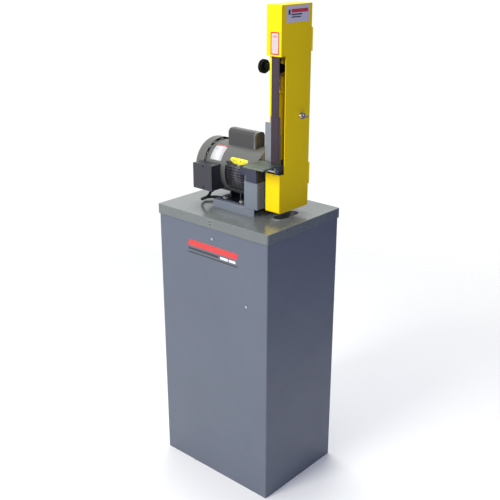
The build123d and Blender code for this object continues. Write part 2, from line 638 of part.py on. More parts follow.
def through_bolt(y, z):
    head_x = drive_face - drive_cone - 3
    return rod("x", tie_r, bell_x0 + 1, head_x, y, z) + hexagon("x", 8, head_x, head_x + 4, y, z)


def bearing(bore, outer, width, x, y, z):
    """A sealed ball bearing as one ring, grooved where its shields sit."""
    ring = tube("x", outer, bore + run, x, x + width, y, z)
    groove_out, groove_in = outer - 0.22 * (outer - bore), bore + 0.25 * (outer - bore)
    for x0 in (x, x + width - 0.8):
        ring -= tube("x", groove_out, groove_in, x0, x0 + 0.8, y, z)
    return ring


def stator():
    """Laminations with grooves for the through bolts, and the two rings of end turns."""
    x0, x1 = stator_x - stator_half, stator_x + stator_half
    body = shaft_rod(shell_r - shell_t, x0, x1) - shaft_rod(stator_bore, x0, x1)
    for y, z in around(4, tie_circle, 45):
        body -= rod("x", tie_r + slip, x0, x1, y, z)
    for a, b in ((x0 - winding_l, x0), (x1, x1 + winding_l)):
        body += shaft_rod(winding_out, a, b) - shaft_rod(winding_in, a, b)
    return body


def motor_shaft():
    shaft = shaft_rod(bearing_bore, rear_bearing - 1, drive_bearing + bearing_w + 1)
    shaft += shaft_rod(shaft_tip_r, shaft_x0, rear_bearing - 1)
    shaft += shaft_rod(shaft_tip_r, drive_bearing + bearing_w + 1, shaft_x1)
    return shaft - block(pulley_x0, shaft_x1 + 1, motor_y - 2.4, motor_y + 2.4, motor_z + 5.6, motor_z + 9)


def motor_fan():
    fan = shaft_rod(16, shaft_x0, shaft_x0 + 16) + shaft_rod(fan_r - 8, shaft_x0 + 12, shaft_x0 + 14)
    for i in range(fan_blades):
        blade = block(shaft_x0 + 1, shaft_x0 + 14, -1, 1, 12, fan_r)
        fan += Pos(0, motor_y, motor_z) * Rot(360 / fan_blades * i, 0, 0) * blade
    return fan - shaft_rod(shaft_tip_r, shaft_x0 - 1, shaft_x0 + 17)


def fan_cover():
    cover = shaft_rod(cover_r, cover_x0, cover_x1)
    cover = fillet(cover.edges().sort_by(Axis.X)[0], cover_round)
    inner = shaft_rod(cover_r - cover_t, cover_x0 + cover_t, cover_x1)
    inner = fillet(inner.edges().sort_by(Axis.X)[0], cover_round - cover_t)
    cover -= inner
    rim = tube("x", cover_r - cover_t, bell_r, bell_x0 - 2.5, bell_x0 - 0.5, motor_y, motor_z)
    cover += rim & cover_tabs()
    for ring in (16, 26, 36, 46, 56):
        slots = tube("x", ring + 3, ring - 3, cover_x0 - 1, cover_x0 + 3, motor_y, motor_z)
        cover -= slots - cover_spokes()
    return cover


def cover_spokes():
    """The bars that stay between the cover's slots."""
    bars = block(cover_x0 - 2, cover_x0 + 4, -cover_r, cover_r, -2.5, 2.5)
    spokes = Part()
    for angle in (0, 45, 90, 135):
        spokes += Rot(angle, 0, 0) * bars
    return Pos(0, motor_y, motor_z) * spokes


def cover_tabs():
    """Three narrow tabs inside the cover's rim that its screws hold to the rear bell."""
    tabs = Part()
    for y, z in around(3, bell_r + 2, 90):
        tabs += rod("x", 6, bell_x0 - 4, bell_x0 + 2, y, z)
    return tabs


def capacitor_form(inset):
    """Half-round hood along the top of the shell."""
    r = 13.0
    x0, x1 = cap_x0 + inset, cap_x1 - inset
    hood = block(x0, x1, cap_y - cap_w / 2 + inset, cap_y + cap_w / 2 - inset, motor_z + 40, cap_top - inset)
    hood = fillet(hood.edges().filter_by(Axis.X).sort_by(Axis.Z)[-2:], r - inset)
    return hood - shaft_rod(shell_r, cap_x0 - 1, cap_x1 + 1)


def capacitor():
    z = cap_top - cap_sheet - can_radius - 0.4
    return rod("x", can_radius, cap_x0 + 8, cap_x1 - 12, cap_y, z)


def conduit_box():
    box = block(box_x0, box_x1, box_y0 + box_cover, box_y1, box_z0, box_z1)
    box -= block(box_x0 + box_wall, box_x1 - box_wall, box_y0, box_y1 + 1,
                 box_z0 + box_wall, box_z1 - box_wall)
    box -= shaft_rod(shell_r, cover_x1 + slip, box_x1 + 1)
    box -= shaft_rod(cover_r + slip, cover_x0, cover_x1 + slip)
    for z in (box_z0 + 6, box_z1 - 6):
        box += rod("y", 4, box_y0 + box_cover, box_y0 + 14, (box_x0 + box_x1) / 2, z) & \
            block(box_x0, box_x1, box_y0, box_y1, box_z0 + 1, box_z1 - 1)
    return box - rod("z", 7, box_z0 - 1, box_z0 + box_wall + 1, gland_x, gland_y)


gland_x, gland_y = -72.0, -73.0


def conduit_cover():
    cover = block(box_x0 - 0.8, box_x1 + 0.8, box_y0, box_y0 + box_cover, box_z0 - 0.8, box_z1 + 0.8)
    cover = fillet(cover.edges().filter_by(Axis.Y), 2)
    for z in (box_z0 + 6, box_z1 - 6):
        cover += rod("y", 4, box_y0 - 1.8, box_y0, (box_x0 + box_x1) / 2, z)
    return cover


gland_low = box_z0 - 12.0


def lead_gland():
    """Tapered strain relief in the bottom of the conduit box."""
    body = Pos(gland_x, gland_y, (gland_low + box_z0) / 2) * Cone(5.6, 8.5, box_z0 - gland_low)
    body += rod("z", 7, box_z0, box_z0 + box_wall, gland_x, gland_y)
    body += rod("z", 9, box_z0 + box_wall, box_z0 + box_wall + 2, gland_x, gland_y)
    return body - rod("z", lead_r, gland_low - 1, box_z0 + 10, gland_x, gland_y)


save("motor_foot", motor_foot())
save("foot_bolts", *[bolt(x, y, base_top - base_sheet - 6, base_top + foot_t) for x, y in foot_places])
save("motor_shell", motor_shell())
save("rear_bell", rear_bell())
save("drive_bell", drive_bell())
save("through_bolts", *[through_bolt(y, z) for y, z in around(4, tie_circle, 45)])
save("motor_bearings", bearing(bearing_bore, bearing_r, bearing_w, rear_bearing, motor_y, motor_z),
     bearing(bearing_bore, bearing_r, bearing_w, drive_bearing, motor_y, motor_z))
save("stator", stator())
save("motor_shaft", motor_shaft())
save("rotor", shaft_rod(stator_bore - air_gap, stator_x - stator_half, stator_x + stator_half)
     - shaft_rod(bearing_bore, stator_x - stator_half, stator_x + stator_half))
save("motor_fan", motor_fan())
save("fan_cover", fan_cover())
save("capacitor_cover", capacitor_form(0) - capacitor_form(cap_sheet))
save("capacitor", capacitor())
save("conduit_box", conduit_box())
save("conduit_cover", conduit_cover())
save("lead_fittings", lead_gland(), lead_bushing())

# The motor lead: out of the gland, down to the lid, round one flat loop and into the motor base.
lead_z = lid_top + lead_r + 3.2
lead_points = [
    (gland_x, gland_y, box_z0),
    (gland_x, gland_y, gland_low - 8),
    (gland_x - 12, gland_y - 2, gland_low - 26),
    (gland_x - 35, gland_y, lead_z + 1.5),
    (gland_x - 53, gland_y + 16, lead_z),
    (gland_x - 53, gland_y + 40, lead_z),
    (gland_x - 36, gland_y + 56, lead_z + 0.5),
    (gland_x - 13, gland_y + 57, bushing_z),
    (base_x0 + base_sheet, bushing_y, bushing_z),
]


def corner_radii(points):
    """0.45 of the shorter run at each corner, divided by the tangent of half the turn."""
    radii = []
    for a, b, c in zip(points, points[1:], points[2:]):
        before, after = Vector(*b) - Vector(*a), Vector(*c) - Vector(*b)
        turn = radians(before.get_angle(after))
        radii.append(0.45 * min(before.length, after.length) / tan(turn / 2))
    return radii


def motor_lead():
    radii = corner_radii(lead_points)
    print("motor lead radii", [round(r, 1) for r in radii])
    path = FilletPolyline(*lead_points, radius=radii)
    section = Plane(origin=path @ 0, z_dir=path % 0) * Circle(lead_r - 0.02)
    lead = sweep(section, path=path)
    print("motor lead length", round(path.length, 1), "volume / (section * length)",
          round(lead.volume / (pi * (lead_r - 0.02) ** 2 * path.length), 4))
    return lead


save("motor_lead", motor_lead())


# ------------------------------------------------------------------ belt head
def loop(r_add, x0, x1):
    """The solid inside a belt that runs round both pulleys, r_add away from their faces."""
    centre_low, centre_high = Vector(motor_y, motor_z), Vector(idler_y, idler_z)
    r_low, r_high = drive_r + r_add, idler_r + r_add
    span = centre_high - centre_low
    along = span.normalized()
    across = Vector(-along.Y, along.X)
    lean = (r_low - r_high) / span.length
    sides = [along * lean + across * (s * sqrt(1 - lean ** 2)) for s in (1, -1)]
    points = [centre_low + sides[0] * r_low, centre_high + sides[0] * r_high,
              centre_high + sides[1] * r_high, centre_low + sides[1] * r_low]
    strip = extrude(Plane.YZ * make_face(Polyline(*[(q.X, q.Y) for q in points], close=True)), x1 - x0)
    body = Pos(x0, 0, 0) * strip
    return body + rod("x", r_low, x0, x1, motor_y, motor_z) + rod("x", r_high, x0, x1, idler_y, idler_z)


def sanding_belt():
    x0, x1 = belt_x - belt_w / 2, belt_x + belt_w / 2
    return loop(slip + belt_t, x0, x1) - loop(slip, x0, x1)


def pulley(r, rim, hub_r, bore, y, z, x0, x1):
    """A crowned pulley with a rim, a web and a hub."""
    mid = (x0 + x1) / 2
    body = turned([(x0, 0), (x0, r - crown), (mid - 4, r), (mid + 4, r), (x1, r - crown), (x1, 0)], y, z)
    inner = r - rim
    for a, b in ((x0, mid - 3), (mid + 3, x1)):
        body -= tube("x", inner, hub_r, a, b, y, z)
    return body - rod("x", bore, x0 - 1, x1 + 1, y, z)


def drive_wheel():
    wheel = pulley(drive_r, 7, 17, shaft_tip_r, motor_y, motor_z, pulley_x0, pulley_x1)
    wheel += block(pulley_x0 + 1, pulley_x1 - 4, motor_y - 2.4, motor_y + 2.4, motor_z + 5.6, motor_z + 9)
    return wheel - shaft_rod(2.6, pulley_x1, pulley_x1 + 1)


wall_screws = around(4, 39, 45)
keeper_t, keeper_gap = 2.0, 2.2       # the keeper's sheet, and from it to the door
keeper_x0 = door_x0 - keeper_gap - keeper_t
tbar_x1 = keeper_x0 - 2 * slip
tbar_x0 = tbar_x1 - 3.0
guard_hinge_z = [guard_z0 + 60, guard_z1 - 60 - 3 * knuckle]
guard_axis_x, guard_axis_y = guard_x1 - 1.0, guard_y1 + hinge_r + 0.8
guide_screws = [(stud_y + 11, stud_z + dz) for dz in (46, 72)]
spring_x = guard_x0 + guard_sheet + 8.0
seat_z = carriage_z0 - spring_h
platen_screws = [(belt_x + 3, platen_low + dz) for dz in (27, 82)]


def round_corners(body):
    """Round the guard's outline: small corners on top, larger ones at the heel."""
    body = fillet(body.edges().filter_by(Axis.X).sort_by(Axis.Z)[-2:], guard_round)
    return fillet(body.edges().filter_by(Axis.X).sort_by(Axis.Z)[:2], guard_heel)


def guard_housing():
    right = door_x0 - slip
    body = block(guard_x0, right, guard_y0, guard_y1, guard_z0, guard_z1)
    body = round_corners(body)
    body -= block(guard_x0 + guard_sheet, right + 1, guard_y0 + guard_sheet, guard_y1 - guard_sheet,
                  guard_z0 + guard_sheet, guard_z1 - guard_sheet)
    body -= block(guard_x0 - 1, right + 1, guard_y0 - 1, notch_wall, notch_z0, notch_z1)
    body += block(guard_x0, guard_x0 + wall_return, notch_wall, notch_wall + guard_sheet, notch_z0, notch_z1)
    wall = guard_x0 + guard_sheet
    body -= rod("x", boss_r + 2, guard_x0 - 1, wall + 1, motor_y, motor_z)
    for y, z in wall_screws:
        body -= rod("x", 2.5, guard_x0 - 1, wall + 1, y, z)
    body -= block(guard_x0 - 1, wall + 1, stud_y - stud_r - 0.5, stud_y + stud_r + 0.5,
                  stud_z - travel - stud_r - 1, stud_z + stud_r + 1)
    for y, z in guide_screws:
        body -= rod("x", 3, guard_x0 - 1, wall + 1, y, z)
    body -= block(guard_x0 + 5, right - 4, motor_y - 40, motor_y + 40, guard_z0 - 1, guard_z0 + 3)
    seat = block(guard_x0 + 0.5, spring_x + 9, spring_y - 9, spring_y + 9, seat_z - 2, seat_z)
    return body + seat + rod("z", spring_r - spring_wire, seat_z - 1, seat_z + 7, spring_x, spring_y)


def guard_door():
    door = block(door_x0, guard_x1, guard_y0, guard_y1, guard_z0, guard_z1)
    door = round_corners(door)
    door -= block(door_x0 - 1, guard_x1 + 1, guard_y0 - 1, notch_door, notch_z0, notch_z1)
    inner = guard_sheet + 0.6
    for z in (guard_z0 + inner, guard_z1 - inner - guard_sheet):
        door += block(door_x0 - 9, door_x0, motor_y - 35, motor_y + 40, z, z + guard_sheet)
    for z in guard_hinge_z:
        z0, z1 = z + knuckle + slip, z + 2 * knuckle - slip
        door += rod("z", hinge_r, z0, z1, guard_axis_x, guard_axis_y)
        door += block(door_x0 + 0.2, guard_x1, guard_y1 - 4, guard_axis_y, z0, z1)
        door -= rod("z", hinge_pin_r + run, z, z + 3 * knuckle, guard_axis_x, guard_axis_y)
    return door - rod("x", latch_r + run, door_x0 - 1, guard_x1 + 1, latch_y, latch_z)


def guard_hinge(z):
    """Fixed leaf on the guard's back, its knuckles and its pin."""
    near = guard_axis_x - hinge_r - 0.4
    leaf = block(near - 16, near, guard_y1, guard_y1 + 1.2, z, z + 3 * knuckle)
    for z0 in (z, z + 2 * knuckle):
        leaf += rod("z", hinge_r, z0, z0 + knuckle, guard_axis_x, guard_axis_y)
        leaf += block(near - 1, guard_axis_x - 1.2, guard_y1, guard_axis_y, z0, z0 + knuckle)
    return leaf + rod("z", hinge_pin_r, z, z + 3 * knuckle, guard_axis_x, guard_axis_y)


def wing_latch():
    """Quarter-turn wing on the door, open: its T-bar stands in line with the keeper's slot."""
    stem = rod("x", latch_r, tbar_x0, guard_x1 + 10, latch_y, latch_z)
    stem += rod("x", 9, guard_x1 + slip, guard_x1 + 1.8, latch_y, latch_z)
    stem += rod("x", 7, guard_x1 + 1.8, guard_x1 + 9, latch_y, latch_z)
    for s in (-1, 1):
        wing = block(guard_x1 + 4, guard_x1 + 15, latch_y + s * 5, latch_y + s * 15,
                     latch_z - 1.5, latch_z + 1.5)
        stem += fillet(wing.edges().filter_by(Axis.Z), 3.5)
    return stem + block(tbar_x0, tbar_x1, latch_y - 3.5, latch_y + 3.5, latch_z - 13, latch_z + 13)


def latch_keeper():
    back = guard_y1 - guard_sheet
    plate = block(keeper_x0, keeper_x0 + keeper_t, latch_y - 16, back, latch_z - 20, latch_z + 20)
    plate += block(keeper_x0 - 14, keeper_x0 + keeper_t, back - keeper_t, back, latch_z - 20, latch_z + 20)
    return plate - block(keeper_x0 - 1, keeper_x0 + keeper_t + 1,
                         latch_y - latch_r - 1, latch_y + latch_r + 1, latch_z - 15, latch_z + 15)


def swivel_flange():
    ring = shaft_rod(swivel_r, swivel_x0 + 10, guard_x0) + shaft_rod(boss_r + 9, swivel_x0, guard_x0)
    ring -= shaft_rod(boss_r + run, swivel_x0 - 1, guard_x0 + 1)
    for y, z in wall_screws:
        ring -= rod("x", 2.5, swivel_x0, guard_x0 + 1, y, z)
    return ring - rod("y", 3, motor_y, motor_y + swivel_r + 5, swivel_x0 + 16, motor_z)


def head_fasteners():
    """Screws of the flange, the guides and the platen, and the swivel's lock screw."""
    wall = guard_x0 + guard_sheet
    pieces = []
    for y, z in wall_screws:
        pieces.append(rod("x", 2.5, swivel_x0 + 12, wall, y, z) + rod("x", 4.5, wall, wall + 3, y, z))
    for y, z in guide_screws:
        shoulder = rod("x", 3.6, wall, carriage_x1 + slip, y, z)
        pieces.append(rod("x", 3, guard_x0 - 2, wall, y, z) + shoulder
                      + rod("x", 6.5, carriage_x1 + slip, carriage_x1 + slip + 2.5, y, z)
                      + hexagon("x", 10, guard_x0 - 4.5, guard_x0, y, z))
    for x, z in platen_screws:
        pieces.append(rod("y", 2.5, platen_front + 0.4, platen_front + platen_t + 8, x, z)
                      + rod("y", 4.2, platen_front + 0.4, platen_front + 3, x, z))
    lock_y = motor_y + swivel_r
    lock = rod("y", 3, motor_y + boss_r + 0.4, lock_y + 4, swivel_x0 + 16, motor_z)
    return pieces + [lock + hexagon("y", 9, lock_y, lock_y + 7, swivel_x0 + 16, motor_z)]


carriage_x0 = guard_x0 + guard_sheet + slip
carriage_x1 = carriage_x0 + carriage_t


def platen():
    plate = block(platen_x0, platen_x1, platen_front, platen_front + platen_t, platen_low, platen_high)
    step = guard_x0 + wall_return - 1
    plate -= block(platen_x0 - 1, step, platen_front - 1, platen_front + platen_t + 1,
                   platen_left_high, platen_high + 1)
    for x, z in platen_screws:
        plate -= rod("y", 2.5, platen_front - 1, platen_front + platen_t + 1, x, z)
        plate -= rod("y", 4.2, platen_front - 1, platen_front + 3, x, z)
    return plate


def platen_bracket():
    """Angle between the guard's wall and the back of the platen."""
    back = platen_front + platen_t
    wall, low, high = guard_x0 + guard_sheet, platen_low + 8, platen_low + 102
    lap = notch_wall + guard_sheet
    angle = block(guard_x0 + wall_return + 0.2, belt_x + 12, back, lap + 3, low, high)
    angle += block(wall, guard_x0 + wall_return + 1, lap, lap + 3, low, high)
    angle += block(wall, wall + 3, lap, lap + 30, low, high)
    for x, z in platen_screws:
        angle -= rod("y", 2.5, back - 1, lap + 4, x, z)
    return angle


def idler_carriage():
    """Sliding plate with the idler's axle hole, guide slots and a foot for the spring."""
    plate = block(carriage_x0, carriage_x1, carriage_y0, carriage_y1, carriage_z0, carriage_z1)
    plate = fillet(plate.edges().filter_by(Axis.X), 6)
    for y, z in guide_screws:
        plate -= block(carriage_x0 - 1, carriage_x1 + 1, y - 3.6 - run, y + 3.6 + run,
                       z - 3.6 - 1, z + travel + 3.6 + 1)
    plate -= rod("x", stud_r + run, carriage_x0 - 1, carriage_x1 + 1, stud_y, stud_z)
    plate -= rod("x", axle_r, carriage_x0 - 1, carriage_x1 + 1, idler_y, idler_z)
    plate += block(carriage_x0, spring_x + 9, spring_y - 9, spring_y + 9, carriage_z0, carriage_z0 + 3)
    return plate + tube("x", 6.5, stud_r + run, carriage_x1 - 1, nut_x0, stud_y, stud_z)


def idler_axle():
    axle = rod("x", axle_r, carriage_x0, pulley_x1 + 6, idler_y, idler_z)
    axle += rod("x", axle_r + 3, carriage_x1, pulley_x0 - slip, idler_y, idler_z)
    return axle + rod("x", axle_r + 2.5, pulley_x1 + slip, pulley_x1 + 3, idler_y, idler_z)


def idler_wheel():
    wheel = pulley(idler_r, 5, idler_bearing_r + 4, axle_r + 2, idler_y, idler_z, pulley_x0, pulley_x1)
    for x0 in (pulley_x0 - 1, pulley_x1 - idler_bearing_w):
        wheel -= rod("x", idler_bearing_r, x0, x0 + idler_bearing_w + 1, idler_y, idler_z)
    return wheel


def clamp_nut():
    nut = hexagon("x", nut_af, nut_x0, nut_x1, stud_y, stud_z)
    return nut - rod("x", stud_r + run, nut_x0 - 1, nut_x1 + 1, stud_y, stud_z)


def tension_knob():
    """Fluted knob, its neck and the stud moulded into it."""
    knob = rod("x", knob_r, knob_x0, knob_x1, stud_y, stud_z)
    knob = fillet(knob.edges().filter_by(GeomType.CIRCLE), 2.5)
    for i in range(knob_flutes):
        angle = 2 * pi * i / knob_flutes
        reach = knob_r + 2.2
        knob -= rod("x", 3.8, knob_x0 - 1, knob_x1 + 1,
                    stud_y + reach * cos(angle), stud_z + reach * sin(angle))
    knob += rod("x", knob_neck_r, knob_x1, guard_x0 - slip, stud_y, stud_z)
    return knob + rod("x", stud_r, guard_x0 - 1, nut_x1 + 2, stud_y, stud_z)


def tension_spring():
    rise = spring_h - spring_wire
    path = Helix(rise / spring_turns, rise, spring_r)
    section = Plane(origin=path @ 0, z_dir=path % 0) * Circle(spring_wire / 2)
    return Pos(spring_x, spring_y, seat_z + spring_wire / 2) * sweep(section, path=path)


save("swivel_flange", swivel_flange())
save("guard_housing", guard_housing())
save("guard_door", guard_door())
save("guard_hinges", *[guard_hinge(z) for z in guard_hinge_z])
save("wing_latch", wing_latch())
save("latch_keeper", latch_keeper())
save("head_screws", *head_fasteners())
save("platen", platen())
save("platen_bracket", platen_bracket())
save("sanding_belt", sanding_belt())
save("drive_wheel", drive_wheel())
save("idler_carriage", idler_carriage())
save("idler_axle", idler_axle())
save("idler_wheel", idler_wheel())
save("idler_bearings",
     bearing(axle_r, idler_bearing_r, idler_bearing_w, pulley_x0, idler_y, idler_z),
     bearing(axle_r, idler_bearing_r, idler_bearing_w, pulley_x1 - idler_bearing_w, idler_y, idler_z))
save("clamp_nut", clamp_nut())
save("tension_knob", tension_knob())
save("tension_spring", tension_spring())
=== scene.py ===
# %% [markdown]
# # An upright belt sander on a dust cabinet
# The imported CAD model comes in first and stays where it is. It already holds every part that moves,
# fastens or carries load, so this lesson only adds what the eye wants: light, paint, grit, cloth,
# labels and small pressed details.

# %% Load the frame
import json
from math import atan2, cos, pi, radians, sin

import bmesh
import bpy
from mathutils import Matrix, Vector


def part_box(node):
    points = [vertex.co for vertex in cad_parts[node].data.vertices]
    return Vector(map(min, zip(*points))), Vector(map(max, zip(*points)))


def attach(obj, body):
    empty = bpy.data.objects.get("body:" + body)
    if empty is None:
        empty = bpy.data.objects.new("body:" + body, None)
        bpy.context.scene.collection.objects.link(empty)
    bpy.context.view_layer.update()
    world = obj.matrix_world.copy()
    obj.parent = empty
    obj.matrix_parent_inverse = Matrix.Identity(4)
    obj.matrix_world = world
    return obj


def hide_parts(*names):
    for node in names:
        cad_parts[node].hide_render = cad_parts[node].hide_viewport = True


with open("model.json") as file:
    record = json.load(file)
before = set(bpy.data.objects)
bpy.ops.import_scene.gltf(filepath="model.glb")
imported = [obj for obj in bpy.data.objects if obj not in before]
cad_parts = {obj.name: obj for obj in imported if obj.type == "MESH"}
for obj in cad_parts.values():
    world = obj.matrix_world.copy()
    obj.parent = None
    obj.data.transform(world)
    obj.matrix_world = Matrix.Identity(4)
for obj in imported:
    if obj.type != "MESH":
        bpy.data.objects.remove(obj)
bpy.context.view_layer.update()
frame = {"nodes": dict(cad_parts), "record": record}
MM = 0.001

# %% [markdown]
# The camera stands in front and to the right of the machine, at about the height of a tall person's
# eyes, and looks down on the lid. A camera that isn't turned looks down its own -Z, so an X angle of
# 90 degrees less the pitch makes it look ahead and down, and the Z angle then turns it to the left.

# %% Camera
camera_data = bpy.data.cameras.new("camera")
camera_data.lens = 58.67
camera_data.sensor_width = 36
pitch_down, turn_left = 20.871, 41.605
camera = bpy.data.objects.new("camera", camera_data)
camera.location = (1.4665, -1.6434, 1.5176)
camera.rotation_euler = (radians(90 - pitch_down), 0, radians(turn_left))
bpy.context.scene.collection.objects.link(camera)
bpy.context.scene.camera = camera
print("camera at", tuple(round(v, 3) for v in camera.location))

# %% [markdown]
# The motor lead is a short, heavy rubber cord. It drops out of the conduit box, makes one flat loop
# on the lid and goes into the end of the motor base. A NURBS curve is the natural form for it: it
# is smooth everywhere, and its control points are the few places that the cord bends round. The
# order and the end flags are set after the points, because a new spline has too few points for them.
# A bevelled curve's box is padded by its points' radii, which start at 1 m, so each point has the
# tube's own radius here, and the bevel of 1 is scaled by it.

# %% Motor lead
lead_diameter = 8 * MM
lead_route = [(-72, -73, 868), (-75, -74, 849), (-93, -77, 834), (-114, -71, 824.5),
              (-128, -54, 820.2), (-126, -32, 820.2), (-108, -17, 820.7), (-85, -16, 822),
              (-67, -16, 822)]
lead_curve = bpy.data.curves.new("lead_cord", "CURVE")
lead_curve.dimensions = "3D"
lead_curve.bevel_depth = 1
lead_curve.bevel_resolution = 6
lead_curve.use_fill_caps = True
spline = lead_curve.splines.new("NURBS")
spline.points.add(len(lead_route) - 1)
for point, place in zip(spline.points, lead_route):
    point.co = (*[v * MM for v in place], 1)
    point.radius = lead_diameter / 2
spline.order_u = 3
spline.use_endpoint_u = True
spline.resolution_u = 12
lead = bpy.data.objects.new("lead_cord", lead_curve)
bpy.context.scene.collection.objects.link(lead)
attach(lead, "cabinet")
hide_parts("motor_lead")
print("motor lead has", len(lead_route), "control points")

# %% [markdown]
# The light is that of a small product studio: one large soft key in front, a softer one overhead,
# a small flash from the right, and walls that are white on the left and dark on the right. The
# right-hand faces stay in half shade, which shows the form of the folded sheet metal. The floor is
# white too, so it only shows the contact shadow.

# %% World, lights and floor
white_wall, dark_wall = (1.02, 1.02, 1.02, 1), (0.055, 0.075, 0.24, 1)
MIX_FACTOR, MIX_ONE, MIX_OTHER, MIX_RESULT = 0, 6, 7, 2  # a colour Mix node's sockets
scene = bpy.context.scene
scene.view_settings.view_transform = "Standard"
world = bpy.data.worlds.new("studio")
world.use_nodes = True
sky = world.node_tree
direction = sky.nodes.new("ShaderNodeTexCoord")
split = sky.nodes.new("ShaderNodeSeparateXYZ")
dim_side = sky.nodes.new("ShaderNodeMapRange")
dim_side.inputs["From Min"].default_value = -0.15
dim_side.inputs["From Max"].default_value = 0.45
walls = sky.nodes.new("ShaderNodeMix")
walls.data_type = "RGBA"
walls.inputs[MIX_ONE].default_value = white_wall
walls.inputs[MIX_OTHER].default_value = dark_wall
sky.links.new(direction.outputs["Generated"], split.inputs[0])
sky.links.new(split.outputs["X"], dim_side.inputs["Value"])
sky.links.new(dim_side.outputs[0], walls.inputs[MIX_FACTOR])
sky.links.new(walls.outputs[MIX_RESULT], sky.nodes["Background"].inputs["Color"])
scene.world = world


def area_light(name, place, target, size, power, colour=(1, 1, 1)):
    """A square soft light that faces a target."""
    data = bpy.data.lights.new(name, "AREA")
    data.size = size
    data.energy = power
    data.color = colour
    light = bpy.data.objects.new(name, data)
    light.location = place
    light.rotation_euler = (Vector(target) - Vector(place)).to_track_quat("-Z", "Y").to_euler()
    scene.collection.objects.link(light)


area_light("key", (-0.35, -2.7, 2.6), (0, 0, 1.05), 1.0, 74, (1.0, 0.985, 0.95))
area_light("top", (-0.35, 0.45, 3.2), (0, 0, 0.8), 0.8, 36, (1.0, 1.0, 0.95))
area_light("flash", (1.62, -1.55, 1.80), (0.05, 0, 1.1), 0.3, 19, (1.0, 0.975, 0.93))

floor_radius = 2.4
floor_mesh = bpy.data.meshes.new("floor")
bm = bmesh.new()
bmesh.ops.create_circle(bm, cap_ends=True, segments=96, radius=floor_radius)
bm.to_mesh(floor_mesh)
bm.free()
floor = bpy.data.objects.new("floor", floor_mesh)
scene.collection.objects.link(floor)

# %% [markdown]
# Every finish below is a node tree, and node trees are tedious to write out. So one small class
# stands for "the number that comes out of this socket". Adding or multiplying two of them adds a
# Math node and gives back the new number, and a formula reads like a formula. A second class holds
# the tree: its one general method makes any node, sets its settings first, and then its inputs.

# %% Shader maths as Python expressions
class Value:
    """A socket's output, with the operators of ordinary arithmetic."""

    def __init__(self, tree, socket):
        self.tree, self.socket = tree, socket

    def _maths(self, operation, *others, clamp=False):
        settings = {"operation": operation, "use_clamp": clamp}
        return self.tree.node("ShaderNodeMath", settings, dict(enumerate([self, *others])))

    def __add__(self, other):
        return self._maths("ADD", other)

    def __sub__(self, other):
        return self._maths("SUBTRACT", other)

    def __mul__(self, other):
        return self._maths("MULTIPLY", other)

    def __gt__(self, other):
        return self._maths("GREATER_THAN", other)

    def __lt__(self, other):
        return self._maths("LESS_THAN", other)

    def __rsub__(self, other):
        return self * -1 + other

    def __pow__(self, other):
        return self._maths("POWER", other)

    def __abs__(self):
        return self._maths("ABSOLUTE")

    __radd__, __rmul__ = __add__, __mul__

    def clamped(self):
        return self._maths("ADD", 0.0, clamp=True)

    def wrapped(self, size):
        return self._maths("MODULO", size)


class Finish:
    """One material's node tree."""

    def __init__(self, name):
        self.material = bpy.data.materials.new(name)
        self.material.use_nodes = True
        self.material.node_tree.nodes.clear()
        self.coords = self.node("ShaderNodeTexCoord", out="Object")

    def node(self, kind, settings=None, inputs=None, out=0):
        """Any node: its settings first, then its sockets' values or links."""
        tree = self.material.node_tree
        made = tree.nodes.new(kind)
        for key, value in (settings or {}).items():
            if key == "stops":
                for i, (at, colour) in enumerate(value):
                    ramp = made.color_ramp.elements
                    stop = ramp[i] if i < 2 else ramp.new(at)
                    stop.position, stop.color = at, colour
            else:
                setattr(made, key, value)
        for key, value in (inputs or {}).items():
            if isinstance(value, Value):
                tree.links.new(value.socket, made.inputs[key])
            else:
                made.inputs[key].default_value = value
        return Value(self, made.outputs[out])

    def stretched(self, scale, turn=(0, 0, 0)):
        """The object's coordinates, turned and stretched."""
        return self.node("ShaderNodeMapping", inputs={"Vector": self.coords, "Scale": scale,
                                                      "Rotation": turn})

    def noise(self, scale, detail=2.0, roughness=0.5, at=None):
        return self.node("ShaderNodeTexNoise", inputs={
            "Vector": at or self.coords, "Scale": scale, "Detail": detail, "Roughness": roughness})

    def cells(self, scale, out="Distance"):
        return self.node("ShaderNodeTexVoronoi", {"feature": "F1"},
                         {"Vector": self.coords, "Scale": scale}, out)

    def axes(self):
        """The object's X, Y and Z as three numbers."""
        split = self.node("ShaderNodeSeparateXYZ", inputs={"Vector": self.coords}).socket.node
        return [Value(self, split.outputs[i]) for i in range(3)]

    def step(self, value, low, high):
        """0 below low, 1 above high, straight between them."""
        return self.node("ShaderNodeMapRange", {"clamp": True}, {
            "Value": value, "From Min": low, "From Max": high, "To Min": 0.0, "To Max": 1.0})

    def mix(self, factor, one, other):
        """A colour between two colours."""
        return self.node("ShaderNodeMix", {"data_type": "RGBA"}, {
            MIX_FACTOR: factor, MIX_ONE: rgba(one), MIX_OTHER: rgba(other)}, MIX_RESULT)

    def bump(self, height, distance):
        return self.node("ShaderNodeBump", inputs={
            "Height": height, "Distance": distance, "Strength": 1.0})

    def done(self, colour, rough, metal=0.0, normal=None, coat=0.0, gleam=0.5, sheen=0.0, alpha=1.0):
        """Ends the tree in one Principled shader and gives back the material."""
        inputs = {"Base Color": rgba(colour), "Roughness": rough, "Metallic": metal, "Alpha": alpha,
                  "Coat Weight": coat, "Coat Roughness": 0.1, "Sheen Weight": sheen,
                  "Specular IOR Level": gleam}
        if normal is not None:
            inputs["Normal"] = normal
        surface = self.node("ShaderNodeBsdfPrincipled", inputs=inputs)
        output = self.material.node_tree.nodes.new("ShaderNodeOutputMaterial")
        self.material.node_tree.links.new(surface.socket, output.inputs["Surface"])
        return self.material


def rgba(colour):
    """A colour as four numbers, or a link as it is."""
    return colour if isinstance(colour, Value) else (*colour[:3], 1.0)


